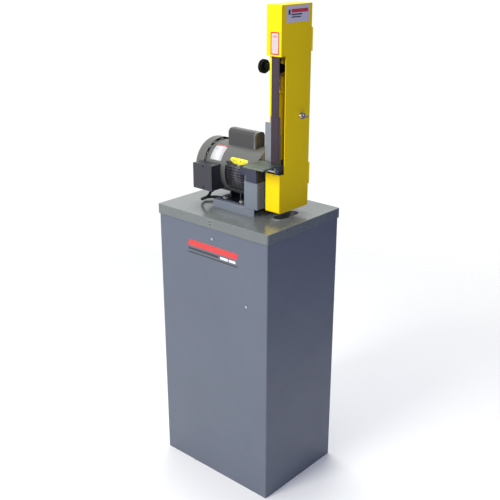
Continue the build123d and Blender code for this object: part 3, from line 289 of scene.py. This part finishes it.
def shade(colour, factor):
    """The same colour, lighter or darker."""
    return tuple(min(1.0, c * factor) for c in colour[:3])


# %% [markdown]
# Shop enamel is sprayed thick and left to level: it is smooth from afar, has a fine orange-peel
# skin close up, and is never quite one colour after some years of dust and rubbing. Broad noise
# shifts the colour a little, fine noise gives the skin, and a third noise breaks up the gloss.

# %% Enamel
def enamel(name, colour, rough=0.35, coat=0.3, grime=0.12, scale=650, gleam=0.4, edge=None):
    f = Finish(name)
    broad = f.noise(5, 4)
    smudge = f.noise(26, 5, 0.65)
    skin = f.noise(scale, 2)
    tone = f.mix(f.step(broad, 0.35, 0.65) * 0.5, shade(colour, 0.94), shade(colour, 1.06))
    tone = f.mix(f.step(smudge, 0.55, 0.78) * grime, tone, shade(colour, 0.62))
    speck = f.step(f.cells(170), 0.10, 0.04) * f.step(f.noise(60), 0.62, 0.7)
    tone = f.mix(speck * 0.25, tone, shade(colour, 0.5))
    # where an edge mask is given, a painted highlight of light grey is laid along it
    if edge:
        tone = f.mix(edge(f) * f.step(smudge, 0.2, 0.55) * 0.7, tone, (0.30, 0.30, 0.29))
    gloss = f.step(smudge, 0.3, 0.8) * 0.14 + rough
    return f.done(tone, gloss, 0.0, f.bump(skin, 0.00004), coat, gleam)


cabinet_paint = enamel("cabinet_enamel", (0.114, 0.132, 0.172), 0.40, 0.06, grime=0.06, gleam=0.3)
lid_paint = enamel("lid_enamel", (0.140, 0.158, 0.158), 0.20, 0.45, grime=0.08)
guard_paint = enamel("guard_enamel", (0.950, 0.680, 0.003), 0.36, 0.04, grime=0.04, gleam=0.12)
motor_paint = enamel("motor_enamel", (0.092, 0.096, 0.090), 0.34, 0.25, grime=0.25, scale=900)
box_paint = enamel("box_enamel", (0.026, 0.027, 0.036), 0.33, 0.2, grime=0.15, scale=900)
base_paint = enamel("base_enamel", (0.160, 0.185, 0.225), 0.42, 0.1, grime=0.10)
print("enamels:", [m.name for m in bpy.data.materials if "enamel" in m.name])

# %% [markdown]
# Bare metal tells how it was made. A ground plate has long scratches one way, turned parts have
# rings, and zinc plate is a soft grey with a faint crystal pattern. Stretching a noise along one
# axis makes scratches, and a Voronoi pattern at a small scale makes the crystals.

# %% Bare metals
def ground_steel(name, colour, rough, stretch=(1, 1, 0.03), scale=420, stain=0.25):
    f = Finish(name)
    streak = f.noise(scale, 3, 0.6, f.stretched(stretch))
    cloud = f.noise(30, 4, 0.6)
    tone = f.mix(f.step(streak, 0.3, 0.7), shade(colour, 0.86), shade(colour, 1.06))
    tone = f.mix(f.step(cloud, 0.5, 0.75) * stain, tone, shade(colour, 0.45))
    return f.done(tone, streak * 0.22 + rough, 1.0, f.bump(streak, 0.00002))


def zinc(name, colour=(0.60, 0.61, 0.60), rough=0.30):
    f = Finish(name)
    crystal = f.cells(420, out="Color")
    grey = f.node("ShaderNodeRGBToBW", inputs={"Color": crystal})
    dull = f.noise(90, 4)
    tone = f.mix(grey * 0.5, shade(colour, 0.82), shade(colour, 1.08))
    tone = f.mix(f.step(dull, 0.55, 0.8) * 0.35, tone, shade(colour, 0.5))
    return f.done(tone, dull * 0.25 + rough, 1.0, f.bump(f.noise(700), 0.00002))


bare_steel = ground_steel("ground_steel", (0.55, 0.55, 0.55), 0.22, (0.03, 1, 1))
platen_steel = ground_steel("platen_steel", (0.29, 0.31, 0.34), 0.42, stain=0.12)
dark_steel = ground_steel("oiled_steel", (0.085, 0.09, 0.13), 0.30, stain=0.4)
screw_zinc = zinc("zinc_plate")
latch_zinc = zinc("die_cast_zinc", (0.78, 0.78, 0.80), 0.18)
bare_aluminium = ground_steel("turned_aluminium", (0.72, 0.73, 0.74), 0.26, (0.05, 1, 1), 600, 0.1)
table_steel = ground_steel("table_steel", (0.25, 0.285, 0.23), 0.30, (0.04, 1, 1), 500, 0.3)
laminations = ground_steel("varnished_laminations", (0.30, 0.22, 0.15), 0.5, (1, 0.02, 0.02), 900,
                           0.4)
print("bare metals:", [m.name for m in bpy.data.materials if "enamel" not in m.name])

# %% [markdown]
# Plastic and rubber are dark and nearly plain, so their surface does the work: a fine moulded
# grain on the knob and the rocker, and a duller, dustier skin on rubber.

# %% Plastic, rubber, grit and felt
def moulded(name, colour, rough, grain=0.00003, dust=0.1, gleam=0.2):
    f = Finish(name)
    fine = f.cells(900)
    cloud = f.noise(45, 4)
    tone = f.mix(f.step(cloud, 0.5, 0.8) * dust, colour, (0.20, 0.19, 0.17))
    return f.done(tone, cloud * 0.2 + rough, 0.0, f.bump(fine, grain), 0.0, gleam)


def abrasive_belt():
    """Grit on cloth: packed grains, pale specks, and a darker worn band in the middle."""
    f = Finish("abrasive_grit")
    x = f.axes()[0]
    grain = f.cells(1500)
    dust = f.noise(2600, 3, 0.7)
    cloud = f.noise(14, 4, 0.6, f.stretched((1, 1, 0.25)))
    tone = f.mix(f.step(grain, 0.15, 0.75), (0.066, 0.044, 0.062), (0.024, 0.016, 0.026))
    tone = f.mix(f.step(dust, 0.62, 0.72) * 0.6, tone, (0.17, 0.13, 0.17))
    worn_half, belt_half = 0.006, 0.0125
    edge = f.step(abs(x - belt_mid_x), worn_half, belt_half)
    tone = f.mix((1 - edge) * f.step(cloud, 0.35, 0.7) * 0.35, tone, (0.085, 0.065, 0.075))
    height = grain * -1.0 + dust * 0.7
    return f.done(tone, 0.85, 0.0, f.bump(height, 0.00022), 0.0, 0.25)


def felt():
    f = Finish("filter_felt")
    fibre = f.noise(900, 4, 0.8, f.stretched((1, 1, 0.4)))
    cloud = f.noise(16, 5, 0.6)
    tone = f.mix(f.step(fibre, 0.3, 0.7), (0.50, 0.47, 0.40), (0.72, 0.69, 0.61))
    tone = f.mix(f.step(cloud, 0.48, 0.75) * 0.5, tone, (0.36, 0.31, 0.24))
    return f.done(tone, 0.95, 0.0, f.bump(fibre, 0.0005), sheen=0.3)


belt_low, belt_high = (Vector(v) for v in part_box("sanding_belt"))
belt_mid_x = (belt_low.x + belt_high.x) / 2
black_plastic = moulded("black_plastic", (0.003, 0.003, 0.004), 0.45, dust=0.01, gleam=0.06)
black_rubber = moulded("black_rubber", (0.006, 0.006, 0.007), 0.45, dust=0.04)
wheel_rubber = moulded("wheel_rubber", (0.05, 0.05, 0.05), 0.7, dust=0.5)
abrasive = abrasive_belt()
filter_cloth = felt()
print("materials so far:", len(bpy.data.materials))

# %% [markdown]
# The floor fades out towards its edge, so no line shows where it stops and the white walls begin.
# The distance from the middle is worked out from X and Y, and Alpha falls from 1 to 0 along it.

# %% White floor
solid_to, gone_from = 0.7, 2.2
f = Finish("white_floor")
x, y, z = f.axes()
fade = 1 - f.step((x * x + y * y) ** 0.5, solid_to, gone_from)
off_white = f.mix(f.noise(3, 2) * 0.2, (0.86, 0.87, 0.87), (0.84, 0.84, 0.85))
floor_mesh.materials.append(f.done(off_white, 0.7, alpha=fade))
print("floor solid to", solid_to, "m, gone from", gone_from, "m")

# %% [markdown]
# The record names a finish for every CAD node. Handing each node the material of that finish is one
# loop, because the record's own table says which finish a node has.

# %% Finishes for the CAD nodes
finishes = {
    "cabinet_paint": cabinet_paint, "lid_paint": lid_paint, "guard_paint": guard_paint,
    "motor_paint": motor_paint, "box_paint": box_paint, "base_paint": base_paint,
    "table_steel": table_steel, "dark_steel": dark_steel,
    "bare_steel": bare_steel, "platen_steel": platen_steel, "screw_zinc": screw_zinc,
    "latch_zinc": latch_zinc, "bare_aluminium": bare_aluminium, "laminations": laminations,
    "black_plastic": black_plastic, "black_rubber": black_rubber, "wheel_rubber": wheel_rubber,
    "abrasive": abrasive, "filter_cloth": filter_cloth}
for part in frame["record"]["subparts"]:
    node = frame["nodes"][part["node"]]
    material = finishes[part["material_slot"]]
    if not node.material_slots:
        node.data.materials.append(material)
    for slot in node.material_slots:
        slot.material = material
lead_curve.materials.append(black_rubber)

# %% [markdown]
# The capacitor cover is dipped in the same dark enamel as the conduit box, and a light line of
# painted highlight runs along the seam of its end cap. The guard's hinges were sprayed over together
# with the guard. A material belongs to an object's slot, so these nodes are simply given another one.

# %% A painted seam highlight and sprayed-over nodes
def cap_seam_highlight(f):
    """Where the painted highlight goes: 1 along the seam of the end cap, 0 away from it."""
    seam_x, faded_at, full_at = 39.5 * MM, 2.2 * MM, 0.6 * MM
    return f.step(abs(f.axes()[0] - seam_x), faded_at, full_at)


# the cover's enamel, with a painted highlight along the seam of its end cap
cover_paint = enamel("cover_enamel", (0.034, 0.035, 0.036), 0.28, 0.4, grime=0.3, scale=900,
                     edge=cap_seam_highlight)
for name, material in (("capacitor_cover", cover_paint), ("guard_hinges", guard_paint)):
    for slot in frame["nodes"][name].material_slots:
        slot.material = material
print("another finish on 2 nodes")

# %% [markdown]
# New pieces are built in a bmesh, which is Blender's mesh in memory with the editor's own operators
# on hand. One helper turns a bmesh into an object at the origin, gives it its finish and hangs it
# on the body that carries it. Places are written in millimetres, so it also scales them to metres.

# %% From a bmesh to a piece
NEAR = 0.01  # two places this close, in millimetres, are the same


def piece(name, bm, material, body, smooth=False):
    """Makes a mesh object of a millimetre bmesh, which rides on a body of the frame."""
    bmesh.ops.scale(bm, vec=(MM, MM, MM), verts=bm.verts)
    mesh = bpy.data.meshes.new(name)
    for face in bm.faces:
        face.smooth = smooth
    bm.to_mesh(mesh)
    bm.free()
    mesh.materials.append(material)
    made = bpy.data.objects.new(name, mesh)
    scene.collection.objects.link(made)
    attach(made, body)
    print(name, len(mesh.polygons), "faces")
    return made


def sheet_blank(width, height, corner, thick=0.15, cuts=0):
    """A flat label in the XY plane with round corners, its back on Z = 0."""
    bm = bmesh.new()
    bmesh.ops.create_grid(bm, x_segments=1, y_segments=1, size=0.5)
    bmesh.ops.scale(bm, vec=(width, height, 1), verts=bm.verts)
    if cuts:
        uprights = [e for e in bm.edges if abs(e.verts[0].co.x - e.verts[1].co.x) < NEAR]
        bmesh.ops.subdivide_edges(bm, edges=uprights, cuts=cuts, use_grid_fill=True)
    corners = [v for v in bm.verts if abs(abs(v.co.x) - width / 2) < NEAR
               and abs(abs(v.co.y) - height / 2) < NEAR]
    bmesh.ops.bevel(bm, geom=corners, offset=corner, affect="VERTICES", segments=5, profile=0.5,
                    material=-1)
    made = bmesh.ops.extrude_face_region(bm, geom=bm.faces[:])["geom"]
    top = [v for v in made if isinstance(v, bmesh.types.BMVert)]
    bmesh.ops.translate(bm, vec=(0, 0, thick), verts=top)
    bmesh.ops.recalc_face_normals(bm, faces=bm.faces)
    return bm


def stood_up(x, y, z, turn=0):
    """Stands a flat blank up to face -Y, turns it round Z in degrees, and puts it in its place."""
    return (Matrix.Translation((x, y, z)) @ Matrix.Rotation(radians(turn), 4, "Z")
            @ Matrix.Rotation(pi / 2, 4, "X"))


print("helpers ready")

# %% [markdown]
# The stickers are where the real machine has its printed matter. Here they carry only plain bars
# and boxes: nothing on them can be read, and nothing is a maker's. A bar is painted by the finish,
# not by more mesh: the product of four comparisons on the coordinates is 1 inside a rectangle, and
# a Mix node lays the ink there.

# %% Printed finishes
def print_bars(f, across, up, paper, bars):
    """Lays rectangles of ink, each (left, right, low, high, colour) in metres, on a paper."""
    worn = f.noise(300, 4)
    tone = f.mix(f.step(worn, 0.35, 0.75) * 0.15, paper, shade(paper, 0.75))
    for left, right, low, high, ink in bars:
        inside = (across > left) * (across < right) * (up > low) * (up < high)
        tone = f.mix(inside * (0.96 - f.step(worn, 0.6, 0.8) * 0.3), tone, ink)
    return f.done(tone, worn * 0.15 + 0.35, coat=0.3)


def bars_about(middle_x, middle_z, rows):
    """Bars in millimetres from a label's middle, made into places in metres."""
    return [((middle_x + left) * MM, (middle_x + right) * MM, (middle_z + low) * MM,
             (middle_z + high) * MM, ink) for left, right, low, high, ink in rows]


red, black, white = (0.62, 0.018, 0.02), (0.012, 0.012, 0.014), (0.82, 0.82, 0.84)
print("inks:", red, black, white)

# %% [markdown]
# The large label at the top of the guard's door is pale, with a red bar over two short black ones.
# It lies on the door's outer face and swings with it.

# %% Door label
door_face, label_y, label_z = 159.0, 9.5, 1345.3
f = Finish("door_label_print")
x, y, z = f.axes()
door_print = print_bars(f, y, z, (0.64, 0.60, 0.68), bars_about(label_y, label_z, [
    (-38, -30, -1, 11, black), (-26, 40, 3, 12, red), (-26, 16, -3, 0.5, black),
    (-26, 12, -9, -6, black)]))
bm = sheet_blank(91.0, 40.6, 3)
bmesh.ops.transform(bm, matrix=stood_up(door_face, label_y, label_z, 90), verts=bm.verts)
piece("door_label", bm, door_print, "guard_door")

# %% [markdown]
# A small upright sticker with a red frame is on the front of the guard, over the belt's window. It
# is the same blank, stood up and faced forwards.

# %% Front sticker
guard_front, sticker_x, sticker_z = -54.5, 138, 1276.2
f = Finish("front_sticker_print")
x, y, z = f.axes()
sticker_print = print_bars(f, x, z, (0.50, 0.010, 0.010), bars_about(sticker_x, sticker_z, [
    (-10.8, 10.8, -24.6, 24.6, (0.56, 0.47, 0.48)), (-7, 7, 13.8, 19.3, (0.46, 0.26, 0.26)),
    (-7, 7, -18.2, 7.8, (0.52, 0.43, 0.44))]))
bm = sheet_blank(28, 55.5, 2)
bmesh.ops.transform(bm, matrix=stood_up(sticker_x, guard_front, sticker_z), verts=bm.verts)
piece("front_sticker", bm, sticker_print, "head")

# %% [markdown]
# The cabinet carries a vinyl decal of separate strips: a slanted red bar, a black and a white one
# under it, and a long thin black line. Vinyl is cut right through, so each strip is its own little
# blank, and the red one is sheared before it is stood up.

# %% Cabinet decal
# each strip: left, right, low, high, and how far its top leans over
strips = ((-88, 97, 715.5, 734, 6), (-89, 27, 703.5, 710, 0), (34, 62, 703, 710, 0),
          (66, 90, 703, 710, 0), (-89, 99, 694, 698, 0))
red_from, white_from, white_right_of = 713 * MM, 701 * MM, 30 * MM
cabinet_front = -152.4
f = Finish("decal_vinyl")
x, y, z = f.axes()
worn = f.noise(200, 3)
ink = f.mix(z > red_from, black, red)
ink = f.mix((z < red_from) * (z > white_from) * (x > white_right_of), ink, white)
dusty = f.mix(f.step(worn, 0.4, 0.8) * 0.2, ink, (0.2, 0.2, 0.2))
decal_vinyl = f.done(dusty, worn * 0.2 + 0.25, coat=0.4)
decal = bmesh.new()
for left, right, low, high, lean in strips:
    bm = sheet_blank(right - left, high - low, 1.0, 0.12)
    for v in bm.verts:
        v.co.x += lean * v.co.y / (high - low)
    place = stood_up((left + right) / 2, cabinet_front, (low + high) / 2)
    bmesh.ops.transform(bm, matrix=place, verts=bm.verts)
    strip = bpy.data.meshes.new("strip")
    bm.to_mesh(strip)
    bm.free()
    decal.from_mesh(strip)
    bpy.data.meshes.remove(strip)
piece("cabinet_decal", decal, decal_vinyl, "cabinet")

# %% [markdown]
# The motor's labels are stuck round its barrel. Each is cut as a flat blank whose height is the
# length of the arc, with rows of extra cuts so that it can bend, and then every vertex is rolled
# onto the barrel: its height becomes an angle round the motor's axis.

# %% Labels rolled onto the motor
motor_y, motor_z, barrel_r = 5.0, 917.3, 72.0
degrees_per_cut = 2.5


def on_barrel(x, angle, r):
    """A place round the motor's axis, at an angle in radians forward of the top."""
    return Vector((x, motor_y - r * sin(angle), motor_z + r * cos(angle)))


def rolled(width, start, end, corner, x_mid, thick=0.2, cut=None):
    """A label round the barrel from one angle to another, in degrees forward of the top."""
    arc = radians(end - start) * barrel_r
    bm = sheet_blank(width, arc, corner, thick, cuts=int((end - start) / degrees_per_cut))
    for v in bm.verts:
        if cut:
            v.co.x *= cut(v.co.y / arc)
        angle = radians((start + end) / 2) - v.co.y / barrel_r
        v.co = on_barrel(x_mid + v.co.x, angle, barrel_r + v.co.z)
    bmesh.ops.recalc_face_normals(bm, faces=bm.faces)
    return bm


def barrel_angle(f):
    """Degrees forward of the top, round the motor's axis."""
    x, y, z = f.axes()
    angle = f.node("ShaderNodeMath", {"operation": "ARCTAN2"},
                   {0: motor_y * MM - y, 1: z - motor_z * MM})
    return x, angle * (180 / pi)


f = Finish("motor_label_print")
x, angle = barrel_angle(f)
dark_grey, pale_grey = (0.40, 0.40, 0.42), (0.5, 0.5, 0.52)
motor_print = print_bars(f, x, angle, (0.55, 0.56, 0.60), [
    (-0.087, -0.046, 27, 31.5, (0.40, 0.07, 0.06)), (-0.082, -0.070, 35, 44, (0.45, 0.46, 0.50)),
    (-0.066, -0.051, 36, 38, dark_grey), (-0.066, -0.051, 41, 43, dark_grey),
    (-0.082, -0.051, 48, 49.5, pale_grey), (-0.082, -0.051, 54, 55.5, pale_grey),
    (-0.082, -0.060, 60, 61.5, pale_grey)])
piece("motor_label", rolled(40.5, 27, 67, 2, -66.7), motor_print, "cabinet", smooth=True)



def lens(t):
    """How wide the yellow label is, from -0.5 at its low edge to 0.5 at its high one."""
    return min(1.0, 1.2 - 0.8 * t, 0.93 - 1.3 * max(0, -t - 0.05))


f = Finish("yellow_label_print")
x, angle = barrel_angle(f)
yellow_print = print_bars(f, x, angle, (0.80, 0.72, 0.01), [
    (0.022, 0.026, 56, 59, black), (-0.006, 0.012, 57, 59, (0.45, 0.38, 0.02))])
piece("yellow_label", rolled(68, 52, 65.5, 1.5, 17.2, cut=lens, thick=0.7), yellow_print,
      "cabinet", smooth=True)

# %% [markdown]
# The rating plate is a stamped sheet of black aluminium with a grid of empty boxes and a drive
# screw in each corner. The lines of the grid come from a wrapped coordinate: where the remainder of
# the position over the pitch is small, there is a line.

# %% Rating plate
row_pitch, row_line = 6, 0.9  # degrees
column_pitch, column_line = 0.0143, 0.0009  # metres
f = Finish("rating_plate_print")
x, angle = barrel_angle(f)
in_grid = (angle > 72) * (angle < 124) * (x > -0.023) * (x < 0.0425)
rows = (angle + 360).wrapped(row_pitch) < row_line
columns = (x + 0.5).wrapped(column_pitch) < column_line
lines = (rows + columns).clamped() * in_grid
worn = f.noise(260, 4)
plate_tone = f.mix(lines * 0.6, (0.010, 0.010, 0.014), (0.20, 0.20, 0.24))
plate_tone = f.mix(f.step(f.noise(420, 2), 0.60, 0.66) * 0.5, plate_tone, (0.10, 0.09, 0.11))
plate_print = f.done(plate_tone, worn * 0.3 + 0.22, 0.3, coat=0.3)
plate_thick, dome_r, dome_flat = 0.5, 1.4, 0.55
piece("rating_plate", rolled(72, 62, 126, 2.5, 10, thick=plate_thick), plate_print, "cabinet",
      smooth=True)
plate_screws = bmesh.new()
for x_at in (-22.5, 42.5):
    for angle_at in (70, 122):
        dome = bmesh.ops.create_uvsphere(plate_screws, u_segments=16, v_segments=8,
                                         radius=dome_r)["verts"]
        a = radians(angle_at)
        bmesh.ops.scale(plate_screws, vec=(1, 1, dome_flat), verts=dome)
        place = Matrix.Translation(on_barrel(x_at, a, barrel_r + plate_thick))
        bmesh.ops.transform(plate_screws, matrix=place @ Matrix.Rotation(a, 4, "X"), verts=dome)
piece("plate_screws", plate_screws, screw_zinc, "cabinet", True)

# %% [markdown]
# The sanding belt is a strip of coated cloth whose ends are cut at a slant and joined over a thin
# tape. The tape's edge shows as a slanting line across the belt. It is one thin blank, sheared so
# that its long sides slant and its short sides stay on the belt's edges.

# %% Belt splice
tape_width, tape_height, slant, splice_z = 25.2, 9, 0.9, 1150
belt_x, belt_front = 135, -47.3
splice = sheet_blank(tape_width, tape_height, 0.3, 0.25)
for v in splice.verts:
    v.co.y += v.co.x * slant
bmesh.ops.transform(splice, matrix=stood_up(belt_x, belt_front, splice_z), verts=splice.verts)
piece("belt_splice", splice, abrasive, "head")

# %% [markdown]
# A woven wire screen lies behind the slots of the fan cover and keeps fingers and shavings out of
# the fan. A grid with the Wireframe modifier would do, but the operator of the same name makes the
# wires in the bmesh. The grid is cut to a disc first: its corners are simply deleted.

# %% Fan screen
screen_x, screen_r, wires, wire_thick = -138.8, 70, 44, 2.0
screen = bmesh.new()
bmesh.ops.create_grid(screen, x_segments=wires, y_segments=wires, size=barrel_r)
outside = [v for v in screen.verts if v.co.length > screen_r]
bmesh.ops.delete(screen, geom=outside, context="VERTS")
bmesh.ops.wireframe(screen, faces=screen.faces, thickness=wire_thick, use_boundary=True,
                    use_even_offset=False, use_replace=True)
place = Matrix.Translation((screen_x, motor_y, motor_z)) @ Matrix.Rotation(pi / 2, 4, "Y")
bmesh.ops.transform(screen, matrix=place, verts=screen.verts)
piece("fan_screen", screen, black_plastic, "cabinet")

# %% [markdown]
# Inside the cover, just round the fan's tips, is a flat ring that makes the air go through the
# fan. From outside it is what keeps the gap between the cover and the motor dark. A short edge is
# spun once round the motor's axis, and the flat ring then gets its thickness.

# %% Fan shroud
shroud_x, shroud_in, shroud_out, shroud_thick = -122, 63.5, 73.8, 1.2
shroud = bmesh.new()
ends = [shroud.verts.new((shroud_x, motor_y, motor_z + r)) for r in (shroud_in, shroud_out)]
edge = shroud.edges.new(ends)
bmesh.ops.spin(shroud, geom=ends + [edge], cent=(shroud_x, motor_y, motor_z), axis=(1, 0, 0),
               angle=2 * pi, steps=96, use_merge=True)
bmesh.ops.recalc_face_normals(shroud, faces=shroud.faces)
bmesh.ops.solidify(shroud, geom=shroud.faces[:], thickness=shroud_thick)
piece("fan_shroud", shroud, black_plastic, "cabinet")

# %% [markdown]
# The filter bag is a long sock of felted cloth. It hangs from the dust inlet inside the cabinet,
# where it is clamped over a narrow oblong neck, and it sags: the shoulders slump, the sides belly
# out towards the bottom, and shallow folds run down from the neck. It starts as a plain drum, cut
# into as many levels as there are outlines in the list. Each level is then pulled to its own rounded
# oblong, from the neck's to the body's, sines round the drum make the folds, and subdivision
# rounds the lot.

# %% Filter bag
bag_low, bag_high = (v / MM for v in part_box("filter_bag"))
inlet_low, inlet_high = (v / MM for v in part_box("dust_inlet"))
body_x, body_y = (bag_low.x + bag_high.x) / 2, (bag_low.y + bag_high.y) / 2
neck_x = (inlet_low.x + inlet_high.x) / 2
top, low = bag_high.z, bag_low.z
# each level: height, how far it has shifted from the neck to the body, half width, half depth
levels = [(top, 0, 19.6, 47.6), (top - 8, 0, 19.6, 47.6), (top - 14, 0, 19.3, 47.3),
          (top - 24, 0, 19.3, 47.3), (top - 30, 0, 20.5, 48.6), (top - 40, 0.1, 24, 53),
          (top - 49, 0.35, 38, 66), (top - 57, 0.65, 56, 83), (top - 70, 0.9, 68, 93),
          (top - 100, 1, 71.5, 96), (top - 135, 1, 71, 95.5), (top - 170, 1, 70.5, 95),
          (top - 205, 1, 71, 96), (top - 240, 1, 72, 97), (low + 140, 1, 73, 98),
          (low + 100, 1, 73.5, 98.5), (low + 60, 1, 74, 99), (low + 30, 1, 72, 97),
          (low + 12, 1, 65, 90), (low + 3, 1, 50, 76), (low + 1, 1, 24, 45)]
neck_corner, body_corner, fold_deep = 0.62, 0.55, 2.2


def oblong(c, s, half_x, half_y, corner):
    """A point of a circle moved out to a rounded oblong. A smaller corner is squarer."""
    return half_x * abs(c) ** corner * (c > 0 or -1), half_y * abs(s) ** corner * (s > 0 or -1)


bag = bmesh.new()
bmesh.ops.create_cone(bag, cap_ends=True, segments=96, radius1=1, radius2=1, depth=len(levels) - 1)
uprights = [e for e in bag.edges if abs(e.verts[0].co.z - e.verts[1].co.z) > 0.5]
bmesh.ops.subdivide_edges(bag, edges=uprights, cuts=len(levels) - 2)
bmesh.ops.delete(bag, geom=[f for f in bag.faces if f.normal.z > 0.9], context="FACES_ONLY")
for v in bag.verts:
    height, shift, half_x, half_y = levels[round((len(levels) - 1) / 2 - v.co.z)]
    turn = atan2(v.co.y, v.co.x)
    fold = fold_deep * shift * (0.5 * sin(9 * turn + height / 60) + 0.3 * sin(17 * turn - height / 35)
                                + 0.2 * sin(5 * turn + height / 22))
    across, back = oblong(v.co.x, v.co.y, half_x + fold, half_y + fold,
                          body_corner if shift else neck_corner)
    v.co = (neck_x + (body_x - neck_x) * shift + across, body_y + back, height)
bmesh.ops.recalc_face_normals(bag, faces=bag.faces)
bag_piece = piece("filter_bag_cloth", bag, filter_cloth, "cabinet", smooth=True)
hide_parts("filter_bag")
wall = bag_piece.modifiers.new("cloth", "SOLIDIFY")
wall.thickness, wall.offset = 1.1 * MM, -1
soft = bag_piece.modifiers.new("soft", "SUBSURF")
soft.levels = soft.render_levels = 1

# %% [markdown]
# A worm-drive clamp holds the bag's neck. The band follows the same rounded oblong, a little
# larger. Its screw housing is a bevelled block on the band's front end, with the screw across it.

# %% Bag clamp
clamp_z, band_height, band_thick = top - 19, 10, 0.7
band_half_x, band_half_y, worm_r, worm_long = 20.4, 48.4, 3, 22
clamp = bmesh.new()
bmesh.ops.create_cone(clamp, cap_ends=False, segments=96, radius1=1, radius2=1, depth=band_height)
for v in clamp.verts:
    across, back = oblong(v.co.x, v.co.y, band_half_x, band_half_y, neck_corner)
    v.co = (neck_x + across, body_y + back, clamp_z + v.co.z)
bmesh.ops.solidify(clamp, geom=clamp.faces[:], thickness=-band_thick)
housing = bmesh.ops.create_cube(clamp, size=1)["verts"]
place = Matrix.Translation((neck_x - 2, body_y - 52, clamp_z)) @ Matrix.Diagonal((14, 6, 11, 1))
bmesh.ops.transform(clamp, matrix=place, verts=housing)
bmesh.ops.bevel(clamp, geom=[e for e in clamp.edges if e.verts[0] in housing], offset=1.2,
                affect="EDGES", segments=2, profile=0.5, material=-1)
worm = bmesh.ops.create_cone(clamp, cap_ends=True, segments=24, radius1=worm_r, radius2=worm_r,
                             depth=worm_long)["verts"]
place = Matrix.Translation((neck_x - 4, body_y - 52.5, clamp_z)) @ Matrix.Rotation(pi / 2, 4, "Y")
bmesh.ops.transform(clamp, matrix=place, verts=worm)
piece("bag_clamp", clamp, screw_zinc, "cabinet")

# %% [markdown]
# The motor base and the table's post are welded up from folded sheet, so a ripple of weld runs
# along their joints. Each bead is a row of short overlapping drops: one sphere, flattened and
# repeated along the seam with small changes of size, which is how a hand-laid bead looks.

# %% Weld beads
def weld_bead(bm, start, end, size=1.6):
    """Overlapping drops of weld from one point to another."""
    start, end = Vector(start), Vector(end)
    count = int((end - start).length / (size * 0.9))
    for i in range(count + 1):
        radius, rise = size * (1 + 0.12 * sin(i * 2.4)), 0.15 * sin(i * 1.7)
        drop = bmesh.ops.create_icosphere(bm, subdivisions=2, radius=radius)["verts"]
        bmesh.ops.scale(bm, vec=(1.0, 1.0, 0.8), verts=drop)
        bmesh.ops.translate(bm, vec=start.lerp(end, i / count) + Vector((0, 0, rise)), verts=drop)


welds = bmesh.new()
base_low, base_high = (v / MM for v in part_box("motor_base"))
post_low, post_high = (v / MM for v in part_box("table_post"))
weld_bead(welds, (post_low.x + 2, post_low.y - 0.2, post_low.z + 0.3),
          (base_high.x - 2, post_low.y - 0.2, post_low.z + 0.3))
for y_at in (base_low.y + 1.5, base_high.y - 1.5):
    weld_bead(welds, (base_low.x + 0.4, y_at, base_low.z + 3),
              (base_low.x + 0.4, y_at, base_high.z - 3))
piece("weld_beads", welds, base_paint, "cabinet", smooth=True)

# %% [markdown]
# The cabinet's pan-head screws each have a cross recess. One this small is read from the shade in it
# alone, so that shade is painted: a thin dark cross that lies just on the head, two bars, one turned
# a quarter.
# One CAD node holds all the screws, so its mesh is first parted into its separate solids.

# %% Painted shade of the cross recess on each screw
def cross(bm, centre, normal, size=3.4):
    """A dark cross of painted shade where a screw head's recess is, facing along a normal."""
    for turn in (0.4, 0.4 + pi / 2):
        bar = bmesh.ops.create_cube(bm, size=1)["verts"]
        flat = Matrix.Rotation(turn, 4, "Z") @ Matrix.Diagonal((size, size * 0.26, 0.12, 1))
        facing = Vector(normal).to_track_quat("Z", "Y").to_matrix().to_4x4()
        bmesh.ops.transform(bm, matrix=Matrix.Translation(centre) @ facing @ flat, verts=bar)


def islands(node):
    """The separate solids of a CAD node, as the lowest and highest corner of each."""
    bm = bmesh.new()
    bm.from_mesh(frame["nodes"][node].data)
    bmesh.ops.remove_doubles(bm, verts=bm.verts, dist=1e-6)
    seen, found = set(), []
    for seed in bm.verts:
        if seed in seen:
            continue
        seen.add(seed)
        stack, low, high = [seed], seed.co.copy(), seed.co.copy()
        while stack:
            v = stack.pop()
            low, high = Vector(map(min, low, v.co)), Vector(map(max, high, v.co))
            for other in [e.other_vert(v) for e in v.link_edges]:
                if other not in seen:
                    seen.add(other)
                    stack.append(other)
        found.append((low / MM, high / MM))
    bm.free()
    return found


proud = 0.02
# thin dark crosses of painted shade on the screw heads, where their cross recess is
recess_shade = bmesh.new()
for low_corner, high_corner in islands("cabinet_screws"):
    middle, size = (low_corner + high_corner) / 2, high_corner - low_corner
    if size.z > 0.9 * max(size) and size.x > size.y:
        side = 1 if middle.x > 0 else -1
        cross(recess_shade, middle + Vector((side * (size.x / 2 + proud), 0, 0)), (side, 0, 0))
    elif size.y < size.z:
        side = 1 if middle.y >= 0 else -1
        cross(recess_shade, middle + Vector((0, side * (size.y / 2 + proud), 0)), (0, side, 0))
print("recess_shade", len(recess_shade.faces) // 12)
piece("screw_recess_shade", recess_shade, black_plastic, "cabinet")
